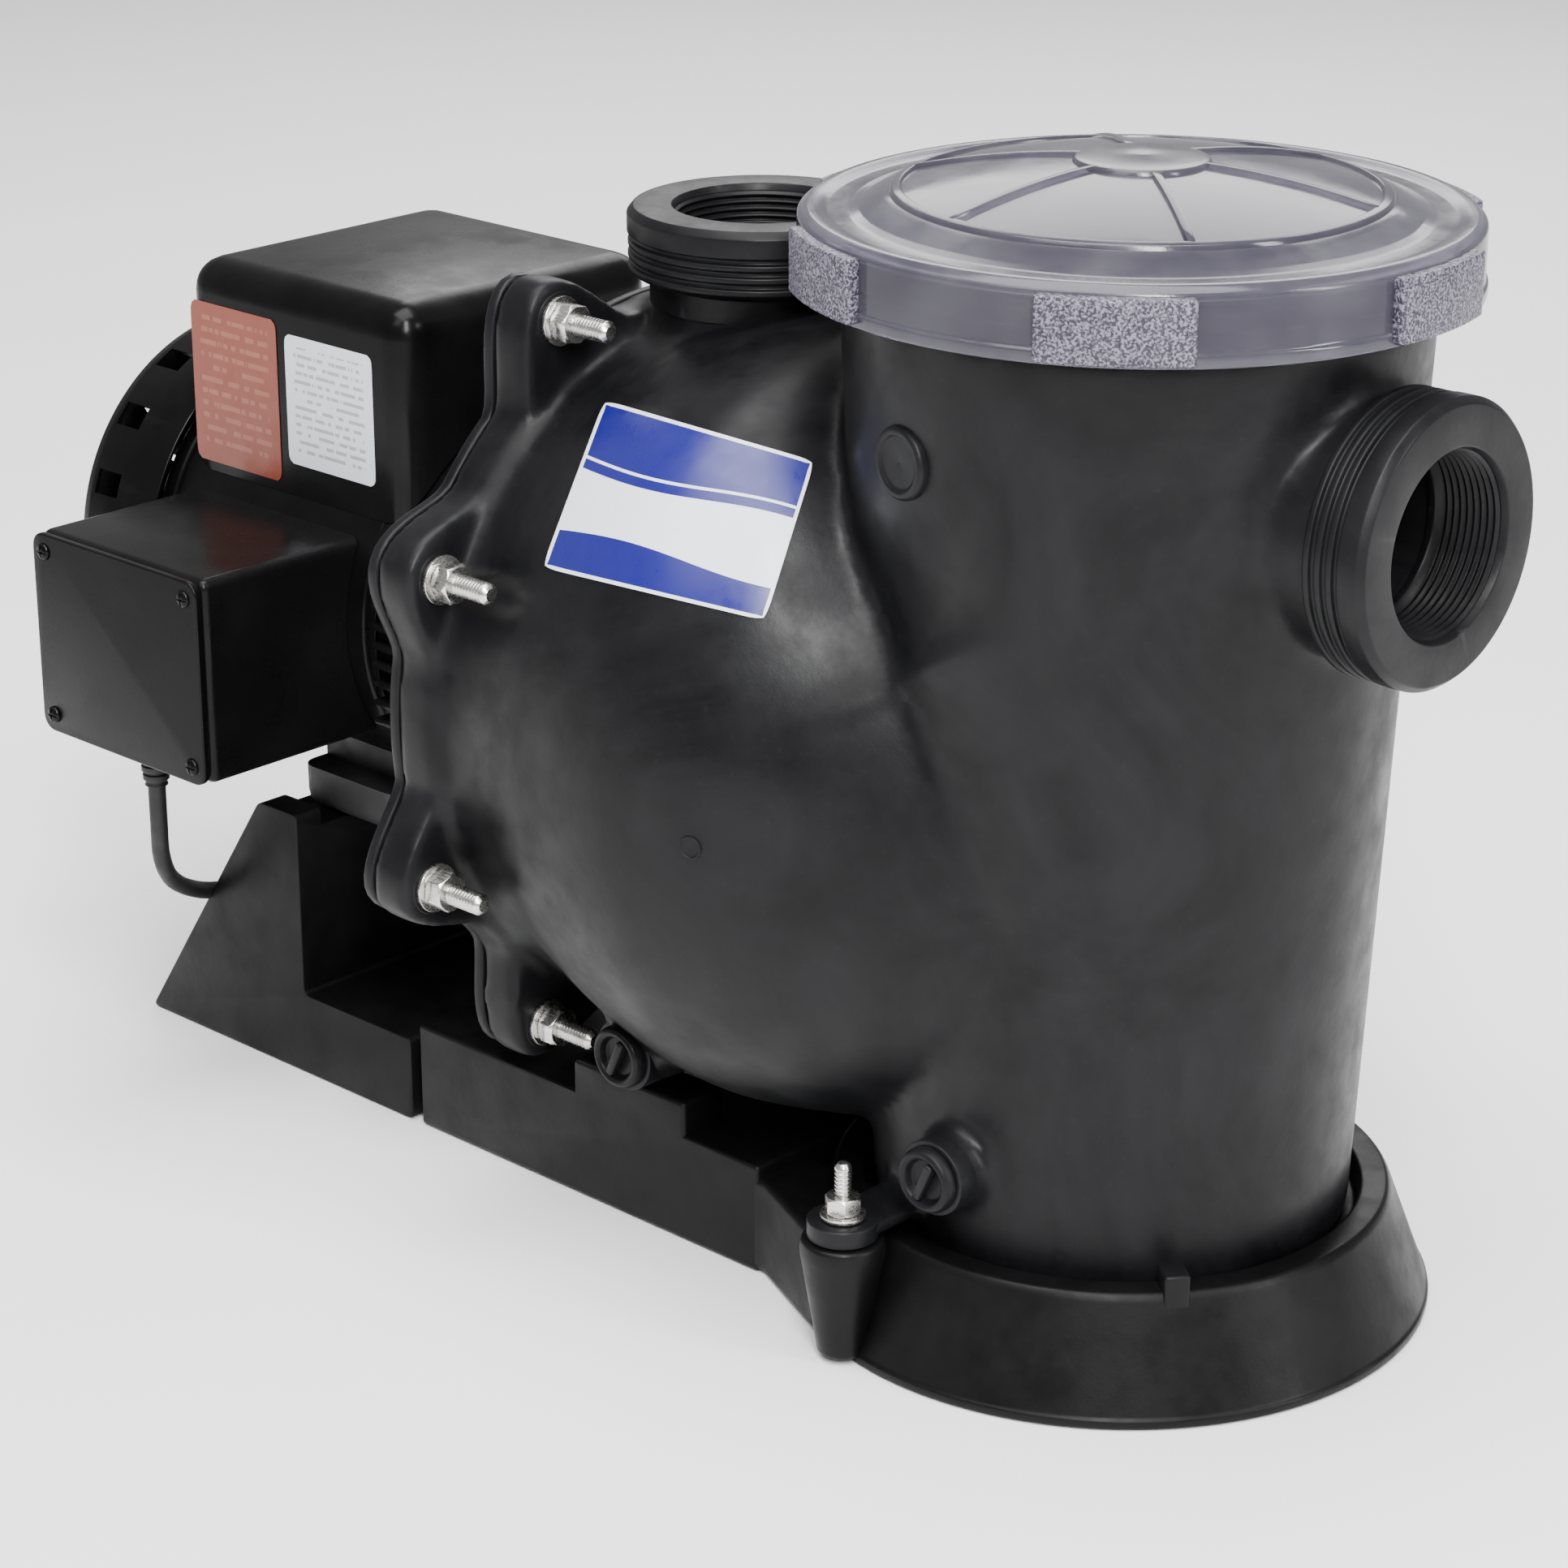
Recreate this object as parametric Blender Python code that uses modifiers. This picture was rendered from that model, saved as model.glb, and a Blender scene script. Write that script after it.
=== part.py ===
"""Pool pump: a strainer pot and volute in one moulding, driven by a close-coupled,
fan-cooled motor, on a two-piece moulded base with a mains cord.

Lengths are in metres, +Z is up and z = 0 is the floor. Every piece is placed in the pot's
own frame: X runs along the shaft towards the suction port, and the pot's axis is X = Y = 0.
The empty "pump_origin" then moves that frame so that the world's origin lies under the
middle of the pump.
"""
import math
from math import cos, pi, radians, sin, sqrt

import bmesh
import bpy
from mathutils import Matrix, Vector

MM = 0.001
GAP = 0.0003

# ---- driving dimensions -------------------------------------------------------------------
SHAFT_Z = 190 * MM            # height of the motor and impeller axis
SUCTION_X = 128.4 * MM        # face of the suction collar
SUCTION_Z = 302 * MM          # height of the suction port's axis
DISCHARGE_X = -172 * MM       # axis of the discharge port
DISCHARGE_Z = 365 * MM        # face of the discharge collar
COLLAR_R = 48 * MM            # outside of both threaded collars
PORT_R = 30.5 * MM            # bore of both ports
COLLAR_LENGTH = 25 * MM
SUCTION_NECK_R = 43 * MM
DISCHARGE_NECK_R = 38.4 * MM

POT_TOP_Z = 382 * MM          # sealing face of the pot's rim
POT_RIM_R = 106 * MM
POT_UPPER_R = 98.5 * MM       # outside of the pot just under the rim
POT_LOWER_R = 84 * MM         # outside of the pot at its foot
POT_FOOT_Z = 34 * MM
BASKET_LEDGE_Z = 350 * MM

LID_R = 112.7 * MM
LID_SKIRT_Z = 366 * MM        # lower edge of the lid
LID_SHOULDER_Z = 390.5 * MM   # top edge of the lid's wall
LID_TOP_Z = 408 * MM
LID_LUG_R = 117 * MM
LID_LUG_ANGLES = (-55, -115, -175, 65, 5, 125)

FLANGE_BACK_X = -226 * MM     # back of the seal plate's rim
FLANGE_SPLIT_X = -219 * MM    # back of the volute's flange
LUG_FRONT_X = -203 * MM       # seat of the flange nuts
FLANGE_R = 138 * MM           # outside of the flange between its bolts
LUG_R = 15 * MM
BOLT_TIP_X = -177 * MM
NUT_SEAT_R = 9.6 * MM         # room cut into the body round each flange nut
# Angle from straight up and distance from the shaft of each bolt; the other side mirrors it.
BOLT_PLACES = ((27, 157 * MM), (66, 143 * MM), (112, 149 * MM), (146, 152 * MM))

CHAMBER_R = 118 * MM          # pumping chamber inside the volute
CHAMBER_FRONT_X = -150 * MM
EYE_R = 30 * MM
WALL = 8 * MM

MOTOR_R = 78 * MM
MOTOR_FACE_X = -248 * MM
SHELL_FRONT_X = -300 * MM
SHELL_BACK_X = -430 * MM
SHROUD_R = 84 * MM
SHROUD_FRONT_X = -428 * MM
SHROUD_BACK_X = -478 * MM
SHAFT_R = 8 * MM

BASE_HALF = 87.5 * MM         # half width of the base
RING_FOOT_R = 114.5 * MM
RING_TOP_R = 98 * MM
RING_Z = 43 * MM
BASE_JOIN_X = -277 * MM       # where the motor stand meets the pump base
STAND_BACK_X = -438 * MM
STAND_Z = 110 * MM

CORD_R = 3.5 * MM
COIL_R = 38 * MM              # middle of the coil's turns

LUG_SPREAD = radians(13.5)    # half angle that a lug takes up on the flange

POT_STUDS = ((-28 * MM, -111 * MM), (-28 * MM, 111 * MM))
DECK_Z = 42 * MM
STUD_BOSS_Z = 46 * MM
POT_EAR_Z = 53 * MM

# Name, centre of the boss's outer face, and how far the boss reaches into the body
DRAIN_PLACES = (
    ("pot_drain", (2 * MM, -96 * MM, 74 * MM), 30 * MM),
    ("volute_drain", (-146 * MM, -96 * MM, 73 * MM), 30 * MM),
)
VENT_FOOT = (-22 * MM, -62 * MM, 313 * MM)
VENT_TURN = (pi / 2, 0, -radians(20))

CAP_BOX_LOW = (-421 * MM, -66 * MM, 218 * MM)
CAP_BOX_HIGH = (-292 * MM, 66 * MM, 316 * MM)
JUNCTION_LOW = (-414 * MM, -146.7 * MM, 145 * MM)
JUNCTION_HIGH = (-316 * MM, -60 * MM, 225 * MM)
GLAND_X = -382 * MM
GLAND_Y = -122 * MM

COIL_CENTRE = (-190 * MM, 196 * MM)
COIL_Z = 1.7 * MM             # underside of the coil, clear of the tie that goes round it
COIL_COLUMNS = 3
COIL_LAYERS = 2
COIL_HALF = COIL_COLUMNS * CORD_R
COIL_OUTER = COIL_R + COIL_HALF
COIL_INNER = COIL_R - COIL_HALF
COIL_TOP_Z = COIL_Z + 2 * COIL_LAYERS * CORD_R
CORD_Z = CORD_R + 0.4 * MM    # middle of the cord where it lies on the floor
CORD_ROUTE = (
    (GLAND_X, GLAND_Y, 121.5 * MM),
    (GLAND_X, GLAND_Y, 106 * MM),
    (GLAND_X - 9 * MM, GLAND_Y + 8 * MM, 90 * MM),
    (GLAND_X - 16 * MM, GLAND_Y + 24 * MM, 72 * MM),
    (-402 * MM, -70 * MM, 58 * MM),
    (-412 * MM, -34 * MM, 38 * MM),
    (-430 * MM, 10 * MM, 12 * MM),
    (-446 * MM, 50 * MM, CORD_Z),
    (-444 * MM, 96 * MM, CORD_Z),
    (-410 * MM, 142 * MM, CORD_Z),
    (-350 * MM, 156 * MM, CORD_Z),
    (-290 * MM, 148 * MM, CORD_Z),
    (-236 * MM, 148 * MM, CORD_Z),
    (-196 * MM, COIL_CENTRE[1] - COIL_OUTER - 4 * MM, CORD_Z),
)
TAIL_ROUTE = (
    (-184 * MM, COIL_CENTRE[1] - COIL_OUTER - 4 * MM, 11.9 * MM),
    (-160 * MM, 144.5 * MM, 11 * MM),
    (-136 * MM, 150 * MM, 9.8 * MM),
    (-116 * MM, 160.8 * MM, 10.6 * MM),
    (-108.1 * MM, 165.75 * MM, 11.4 * MM),
)
PLUG_PLACE = (-107 * MM, 166.5 * MM, 11.4 * MM)
PLUG_TURN = radians(35)
PLUG_FLATNESS = 0.75          # height of the plug's body over its width

LABEL_LIFT = 2.3 * MM         # the label's clearance from the faceted skin under it
LABEL_STATIONS = (-157 * MM, -155 * MM, -133 * MM, -110 * MM, -92 * MM, -75 * MM, -64 * MM,
                  -53 * MM)

PUMP_LENGTH_MIDDLE = (SUCTION_X + SHROUD_BACK_X - 9 * MM) / 2


# ---- scene, materials and small helpers ---------------------------------------------------
for old in list(bpy.data.objects):
    bpy.data.objects.remove(old, do_unlink=True)


def make_collection(name):
    """A new collection linked to the scene."""
    made = bpy.data.collections.new(name)
    bpy.context.scene.collection.children.link(made)
    return made


PARTS = make_collection("pool_pump")
CUTTERS = make_collection("cutters")

ROOT = bpy.data.objects.new("pump_origin", None)
ROOT.location = (-PUMP_LENGTH_MIDDLE, 0, 0)
PARTS.objects.link(ROOT)

MATERIALS = {}
FINISHES = {
    "charcoal_plastic": ((0.026, 0.026, 0.029), 0.45, 0.0),
    "base_plastic": ((0.012, 0.012, 0.013), 0.42, 0.0),
    "clear_lid": ((0.20, 0.19, 0.25), 0.12, 0.0),
    "white_plastic": ((0.75, 0.75, 0.72), 0.4, 0.0),
    "grey_plastic": ((0.12, 0.12, 0.13), 0.5, 0.0),
    "black_paint": ((0.008, 0.008, 0.008), 0.35, 0.3),
    "black_plastic": ((0.010, 0.010, 0.010), 0.45, 0.0),
    "stainless": ((0.62, 0.61, 0.58), 0.28, 1.0),
    "core_steel": ((0.35, 0.35, 0.36), 0.45, 1.0),
    "copper": ((0.70, 0.32, 0.16), 0.4, 1.0),
    "brass": ((0.72, 0.53, 0.22), 0.3, 1.0),
    "rubber": ((0.010, 0.010, 0.010), 0.75, 0.0),
    "ceramic": ((0.78, 0.76, 0.70), 0.3, 0.0),
    "blue_label": ((0.10, 0.11, 0.42), 0.35, 0.0),
    "red_label": ((0.36, 0.08, 0.04), 0.4, 0.0),
    "white_label": ((0.72, 0.72, 0.78), 0.4, 0.0),
}


def material(finish):
    """The Principled material of a finish, made once."""
    if finish not in MATERIALS:
        colour, roughness, metallic = FINISHES[finish]
        made = bpy.data.materials.new(finish)
        made.use_nodes = True
        shader = made.node_tree.nodes["Principled BSDF"]
        shader.inputs["Base Color"].default_value = (*colour, 1)
        shader.inputs["Roughness"].default_value = roughness
        shader.inputs["Metallic"].default_value = metallic
        MATERIALS[finish] = made
    return MATERIALS[finish]


def add_object(name, data, finish=None, place=(0, 0, 0), turn=(0, 0, 0)):
    """Link an object under the pump's origin; one with no finish is a cutter."""
    thing = bpy.data.objects.new(name, data)
    thing.location = place
    thing.rotation_euler = turn
    thing.parent = ROOT
    if finish is None:
        CUTTERS.objects.link(thing)
        thing.display_type = "WIRE"
        thing.hide_render = True
    else:
        PARTS.objects.link(thing)
        data.materials.append(material(finish))
    return thing


def smooth(mesh, angle=35):
    """Shade a mesh smooth, with edges sharper than the angle left sharp."""
    mesh.shade_smooth()
    mesh.set_sharp_from_angle(angle=radians(angle))


ALONG_X = (0, pi / 2, 0)       # turns a shape's own +Z to the pump's +X
TOWARDS_SIDE = (pi / 2, 0, 0)  # turns a shape's own +Z to the pump's -Y


def turned(name, profile, finish=None, place=(0, 0, 0), turn=(0, 0, 0), steps=32):
    """A turned piece: (radius, height) points, down the outer side, spun about its own Z."""
    mesh = bpy.data.meshes.new(name)
    shape = bmesh.new()
    verts = [shape.verts.new((radius, 0, height)) for radius, height in profile]
    closed = profile[0][0] > 0
    for first, second in zip(verts, verts[1:] + verts[:1] if closed else verts[1:]):
        shape.edges.new((first, second))
    shape.to_mesh(mesh)
    shape.free()
    thing = add_object(name, mesh, finish, place, turn)
    screw = thing.modifiers.new("spin", "SCREW")
    screw.steps = steps
    screw.render_steps = steps
    screw.use_merge_vertices = True
    screw.merge_threshold = 0.00001
    screw.use_smooth_shade = True
    return thing


def rod(name, radius, length, finish=None, place=(0, 0, 0), turn=(0, 0, 0), sides=24,
        end_radius=None):
    """A cylinder or cone whose own Z starts at its place."""
    mesh = bpy.data.meshes.new(name)
    shape = bmesh.new()
    bmesh.ops.create_cone(shape, cap_ends=True, cap_tris=False, segments=sides,
                          radius1=radius, radius2=end_radius or radius, depth=length,
                          matrix=Matrix.Translation((0, 0, length / 2)))
    shape.to_mesh(mesh)
    shape.free()
    smooth(mesh)
    return add_object(name, mesh, finish, place, turn)


def block(name, low, high, finish=None, bevel=0, segments=2, turn=(0, 0, 0)):
    """A box between two corners, with its edges rounded where a bevel is given."""
    centre = (Vector(low) + Vector(high)) / 2
    mesh = bpy.data.meshes.new(name)
    shape = bmesh.new()
    bmesh.ops.create_cube(shape, size=1)
    bmesh.ops.scale(shape, vec=Vector(high) - Vector(low), verts=shape.verts)
    shape.to_mesh(mesh)
    shape.free()
    thing = add_object(name, mesh, finish, centre, turn)
    if bevel:
        rounding = thing.modifiers.new("rounding", "BEVEL")
        rounding.width = bevel
        rounding.segments = segments
        rounding.limit_method = "ANGLE"
    return thing


def combine(thing, other, operation):
    """Add an exact Boolean with another object, which becomes a cutter."""
    boolean = thing.modifiers.new(operation.lower(), "BOOLEAN")
    boolean.operation = operation
    boolean.solver = "EXACT"
    boolean.object = other


def join(thing, *others):
    """Union other shapes into a piece."""
    for other in others:
        combine(thing, other, "UNION")
    return thing


def cut(thing, *others):
    """Take other shapes out of a piece."""
    for other in others:
        combine(thing, other, "DIFFERENCE")
    return thing


def tube(name, points, radius, finish=None, resolution=2, closed=False):
    """A round tube of straight steps through the points, with filled caps."""
    curve = bpy.data.curves.new(name, "CURVE")
    curve.dimensions = "3D"
    curve.bevel_depth = radius
    curve.bevel_resolution = resolution
    curve.use_fill_caps = True
    line = curve.splines.new("POLY")
    line.points.add(len(points) - 1)
    for point, place in zip(line.points, points):
        point.co = (*place, 1)
    line.use_cyclic_u = closed
    return add_object(name, curve, finish)


def tube_mesh(name, points, radius):
    """A tube turned into a welded mesh, so that it can be joined to another piece."""
    thing = tube(name + "_curve", points, radius)
    graph = bpy.context.evaluated_depsgraph_get()
    graph.update()
    mesh = bpy.data.meshes.new_from_object(thing.evaluated_get(graph))
    shape = bmesh.new()
    shape.from_mesh(mesh)
    bmesh.ops.remove_doubles(shape, verts=shape.verts, dist=0.00001)
    shape.to_mesh(mesh)
    shape.free()
    made = bpy.data.objects.new(name, mesh)
    made.display_type = "WIRE"
    made.hide_render = True
    CUTTERS.objects.link(made)
    made.parent = ROOT
    bpy.data.objects.remove(thing, do_unlink=True)
    return made


def outline(name, points, low, high, finish=None, turn=(0, 0, 0), place=(0, 0, 0)):
    """A flat outline in its own XY, extruded from one height to another."""
    curve = bpy.data.curves.new(name, "CURVE")
    curve.dimensions = "2D"
    curve.fill_mode = "BOTH"
    curve.extrude = (high - low) / 2
    line = curve.splines.new("POLY")
    line.points.add(len(points) - 1)
    for point, (x, y) in zip(line.points, points):
        point.co = (x, y, 0, 1)
    line.use_cyclic_u = True
    thing = add_object(name + "_flat", curve)
    graph = bpy.context.evaluated_depsgraph_get()
    graph.update()
    mesh = bpy.data.meshes.new_from_object(thing.evaluated_get(graph))
    shape = bmesh.new()
    shape.from_mesh(mesh)
    bmesh.ops.remove_doubles(shape, verts=shape.verts, dist=0.00001)
    bmesh.ops.dissolve_limit(shape, angle_limit=radians(0.5), verts=shape.verts,
                             edges=shape.edges)
    bmesh.ops.translate(shape, vec=(0, 0, (high + low) / 2), verts=shape.verts)
    shape.to_mesh(mesh)
    shape.free()
    bpy.data.objects.remove(thing, do_unlink=True)
    return add_object(name, mesh, finish, place, turn)


def bolt_centres():
    """The (y, z) centre of every flange bolt, both sides."""
    centres = []
    for side in (-1, 1):
        for angle, reach in BOLT_PLACES:
            turn = radians(angle)
            centres.append((side * reach * sin(turn), SHAFT_Z + reach * cos(turn)))
    return centres


# ---- the volute's body: sections across X, each a rounded shape about the shaft ------------
# x, centre height, half width, height above and depth below the centre, squareness
BODY_SECTIONS = (
    (-215 * MM, 190 * MM, 131 * MM, 131 * MM, 131 * MM, 2.0),
    (-195 * MM, 190 * MM, 131 * MM, 131 * MM, 131 * MM, 2.0),
    (-180 * MM, 190 * MM, 133 * MM, 133 * MM, 133 * MM, 2.0),
    (-155 * MM, 190 * MM, 142 * MM, 142 * MM, 141 * MM, 2.1),
    (-110 * MM, 189 * MM, 145 * MM, 146 * MM, 143 * MM, 2.3),
    (-75 * MM, 186 * MM, 137 * MM, 132 * MM, 136 * MM, 2.3),
    (-40 * MM, 180 * MM, 120 * MM, 108 * MM, 122 * MM, 2.3),
    (0 * MM, 172 * MM, 97 * MM, 92 * MM, 104 * MM, 2.3),
    (40 * MM, 168 * MM, 72 * MM, 74 * MM, 84 * MM, 2.2),
)


def section_at(x):
    """The body's section at x, read between its neighbours on a smooth step."""
    rows = BODY_SECTIONS
    x = min(max(x, rows[0][0]), rows[-1][0])
    for low, high in zip(rows, rows[1:]):
        if x <= high[0]:
            share = (x - low[0]) / (high[0] - low[0])
            return [a + (b - a) * share for a, b in zip(low, high)]
    return list(rows[-1])


def body_point(x, angle, inset=0.0):
    """A point of the body's skin; the angle is measured from straight up towards -Y."""
    _, centre, half, above, below, square = section_at(x)
    rise = cos(angle)
    side = sin(angle)
    tall = (above if rise > 0 else below) - inset
    wide = half - inset
    power = 2 / square
    return Vector((
        x,
        -math.copysign(abs(side) ** power, side) * wide,
        centre + math.copysign(abs(rise) ** power, rise) * tall,
    ))


def body_loft(name, stations, inset=0.0, sides=36):
    """A closed loft through the body's sections at the given stations."""
    mesh = bpy.data.meshes.new(name)
    shape = bmesh.new()
    rings = []
    for x in stations:
        angles = [2 * pi * step / sides for step in range(sides)]
        rings.append([shape.verts.new(body_point(x, angle, inset)) for angle in angles])
    for back, front in zip(rings, rings[1:]):
        for step in range(sides):
            after = (step + 1) % sides
            shape.faces.new((back[step], back[after], front[after], front[step]))
    shape.faces.new(rings[0])
    shape.faces.new(list(reversed(rings[-1])))
    bmesh.ops.recalc_face_normals(shape, faces=shape.faces)
    shape.to_mesh(mesh)
    shape.free()
    smooth(mesh, 40)
    return add_object(name, mesh)


def pot_radius(z):
    """Outside radius of the tapering pot at a height."""
    share = (z - POT_FOOT_Z) / (360 * MM - POT_FOOT_Z)
    return POT_LOWER_R + (POT_UPPER_R - POT_LOWER_R) * share


def collar_profile(face, length, neck_radius, neck_end):
    """Profile of a port's collar and neck, from its face down to inside the body."""
    return [
        (0, face), (COLLAR_R - 3 * MM, face), (COLLAR_R, face - 4 * MM),
        (COLLAR_R, face - length + 2 * MM), (neck_radius, face - length - 2 * MM),
        (neck_radius, neck_end), (0, neck_end)]


def lugged_plate(name, back, front, finish=None):
    """The flange's scalloped outline, a disc that swells smoothly at each bolt."""
    points = []
    steps = 90
    for step in range(steps):
        angle = 2 * pi * step / steps
        reach = FLANGE_R
        for y, z in bolt_centres():
            away = angle - math.atan2(y, z - SHAFT_Z)
            away = abs((away + pi) % (2 * pi) - pi)
            if away < LUG_SPREAD:
                swell = sqrt(y ** 2 + (z - SHAFT_Z) ** 2) + LUG_R - FLANGE_R
                reach += swell * (0.5 + 0.5 * cos(pi * away / LUG_SPREAD)) ** 0.8
        points.append((reach * cos(angle), reach * sin(angle)))
    turn = Matrix(((0, 0, 1), (0, 1, 0), (1, 0, 0)))
    plate = outline(name, points, back, front, finish)
    shape = bmesh.new()
    shape.from_mesh(plate.data)
    bmesh.ops.transform(shape, matrix=turn.to_4x4(), verts=shape.verts)
    bmesh.ops.translate(shape, vec=(0, 0, SHAFT_Z), verts=shape.verts)
    bmesh.ops.reverse_faces(shape, faces=shape.faces)
    shape.to_mesh(plate.data)
    shape.free()
    return plate


def housing():
    """Pot, volute, flange and both ports: one hollow moulding."""
    x_stations = [row[0] for row in BODY_SECTIONS]
    body = turned("pump_housing", [
        (0, POT_TOP_Z), (POT_RIM_R, POT_TOP_Z), (POT_RIM_R, 372 * MM),
        (pot_radius(364 * MM), 364 * MM), (pot_radius(POT_FOOT_Z), POT_FOOT_Z + 4 * MM),
        (POT_LOWER_R - 4 * MM, POT_FOOT_Z), (0, POT_FOOT_Z)], "charcoal_plastic", steps=40)
    join(body, body_loft("body_outside", x_stations))
    join(body, lugged_plate("housing_lugs", FLANGE_SPLIT_X, LUG_FRONT_X))
    join(body, turned("suction_outside",
                      collar_profile(SUCTION_X, COLLAR_LENGTH, SUCTION_NECK_R, 70 * MM),
                      None, (0, 0, SUCTION_Z), ALONG_X, 28))
    join(body, turned("discharge_outside",
                      collar_profile(DISCHARGE_Z, COLLAR_LENGTH, DISCHARGE_NECK_R, 300 * MM),
                      None, (DISCHARGE_X, 0, 0), (0, 0, 0), 28))
    for name, (x, y, z), reach in DRAIN_PLACES:
        join(body, rod(name + "_boss", 13.5 * MM, reach, None, (x, y + reach - 4 * MM, z),
                       TOWARDS_SIDE, 20))
    for count, (x, y) in enumerate(POT_STUDS, 1):
        ear_low, ear_high = STUD_BOSS_Z + GAP, POT_EAR_Z
        join(body, rod(f"pot_ear_{count}", 12.5 * MM, ear_high - ear_low, None,
                       (x, y, ear_low), (0, 0, 0), 14))
        near, far = sorted((y, y * 0.62))
        join(body, block(f"pot_ear_web_{count}", (x - 9 * MM, near, ear_low + 0.5 * MM),
                         (x + 11 * MM, far, ear_high - 0.5 * MM)))
    join(body, rod("vent_boss", 8.5 * MM, 26 * MM, None, VENT_FOOT, VENT_TURN, 16))

    pot_inside = turned("pot_inside", [
        (0, POT_TOP_Z + 20 * MM), (90 * MM, POT_TOP_Z + 20 * MM), (90 * MM, BASKET_LEDGE_Z),
        (85 * MM, BASKET_LEDGE_Z), (POT_LOWER_R - 7 * MM, POT_FOOT_Z + 9 * MM),
        (0, POT_FOOT_Z + 9 * MM)], steps=32)
    cut(body, pot_inside)
    cut(body, body_loft("priming_chamber", (-142 * MM, -110 * MM, -75 * MM, -40 * MM,
                                            -30 * MM), WALL, 24))
    cut(body, rod("pumping_chamber", CHAMBER_R, CHAMBER_FRONT_X + 240 * MM, None,
                  (-240 * MM, 0, SHAFT_Z), ALONG_X, 32))
    cut(body, rod("impeller_eye_bore", EYE_R, 60 * MM, None, (-180 * MM, 0, SHAFT_Z),
                  ALONG_X, 24))
    cut(body, rod("suction_bore", PORT_R, 100 * MM, None, (50 * MM, 0, SUCTION_Z),
                  ALONG_X, 24))
    cut(body, rod("discharge_bore", PORT_R, 160 * MM, None, (DISCHARGE_X, 0, 240 * MM),
                  (0, 0, 0), 24))
    for count, (y, z) in enumerate(bolt_centres(), 1):
        cut(body, rod(f"housing_bolt_hole_{count}", 4.6 * MM, 40 * MM, None,
                      (-235 * MM, y, z), ALONG_X, 8))
        cut(body, rod(f"nut_seat_{count}", NUT_SEAT_R, 40 * MM, None, (LUG_FRONT_X, y, z),
                      ALONG_X, 20))
    for count, (x, y) in enumerate(POT_STUDS, 1):
        cut(body, rod(f"ear_hole_{count}", 3.4 * MM, 30 * MM, None, (x, y, 30 * MM),
                      (0, 0, 0), 8))
    for name, (x, y, z), reach in DRAIN_PLACES:
        cut(body, rod(name + "_bore", 8 * MM, 24 * MM, None, (x, y + 15 * MM, z),
                      TOWARDS_SIDE, 12))
    return body


def lid():
    """Clear lid: a shallow dome on a wall that carries six grip lugs and six ribs."""
    lid_piece = turned("lid", [
        (0, LID_TOP_Z), (45 * MM, LID_TOP_Z - 3 * MM), (82 * MM, LID_SHOULDER_Z + 6 * MM),
        (95 * MM, LID_SHOULDER_Z), (LID_R - 1 * MM, LID_SHOULDER_Z),
        (LID_R, LID_SHOULDER_Z - 1.5 * MM), (LID_R, LID_SKIRT_Z),
        (LID_R - 4 * MM, LID_SKIRT_Z), (LID_R - 4 * MM, 387.7 * MM), (93 * MM, 387.7 * MM),
        (80 * MM, LID_SHOULDER_Z + 2 * MM), (45 * MM, LID_TOP_Z - 7 * MM),
        (0, LID_TOP_Z - 4 * MM)], "clear_lid", steps=32)
    for count, angle in enumerate(LID_LUG_ANGLES, 1):
        lug = outline(f"lid_lug_{count}", arc_outline(110.5 * MM, LID_LUG_R, 25),
                      LID_SKIRT_Z + 2 * MM, LID_SHOULDER_Z - 3 * MM, None,
                      (0, 0, radians(angle)))
        join(lid_piece, lug)
    return lid_piece


def arc_outline(inner, outer, spread, steps=3):
    """Outline of a ring's piece that spans the given degrees about +X."""
    half = radians(spread) / 2
    angles = [-half + 2 * half * step / steps for step in range(steps + 1)]
    points = [(outer * cos(a), outer * sin(a)) for a in angles]
    points += [(inner * cos(a), inner * sin(a)) for a in reversed(angles)]
    return points


def ring(name, major, minor, finish, place, turn=(0, 0, 0), steps=36, sides=8):
    """An O-ring."""
    profile = []
    for count in range(sides):
        angle = pi / 2 - 2 * pi * count / sides
        profile.append((major + minor * cos(angle), minor * sin(angle)))
    return turned(name, profile, finish, place, turn, steps)


def basket():
    """Strainer basket: a slotted cup with a rim that hangs on the pot's ledge."""
    top = BASKET_LEDGE_Z + GAP
    cup = turned("strainer_basket", [
        (88 * MM, top + 3 * MM), (88 * MM, top), (81 * MM, top), (70 * MM, 62 * MM),
        (0, 62 * MM), (0, 65 * MM), (67.5 * MM, 65 * MM), (78.5 * MM, top + 3 * MM)],
        "white_plastic", steps=20)
    cut(cup, rod("basket_inlet", 31 * MM, 60 * MM, None, (50 * MM, 0, SUCTION_Z), ALONG_X, 16))
    for count in range(5):
        angle = radians(18 + 36 * count)
        slot = block(f"basket_slot_{count + 1}", (-100 * MM, -4 * MM, 90 * MM),
                     (100 * MM, 4 * MM, 250 * MM), turn=(0, 0, angle))
        cut(cup, slot)
    arch = []
    for count in range(9):
        angle = pi * count / 8
        arch.append((0, 84 * MM * cos(angle), top + 1.5 * MM + 17 * MM * sin(angle)))
    join(cup, tube_mesh("basket_handle", arch, 2.2 * MM))
    return cup


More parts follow.
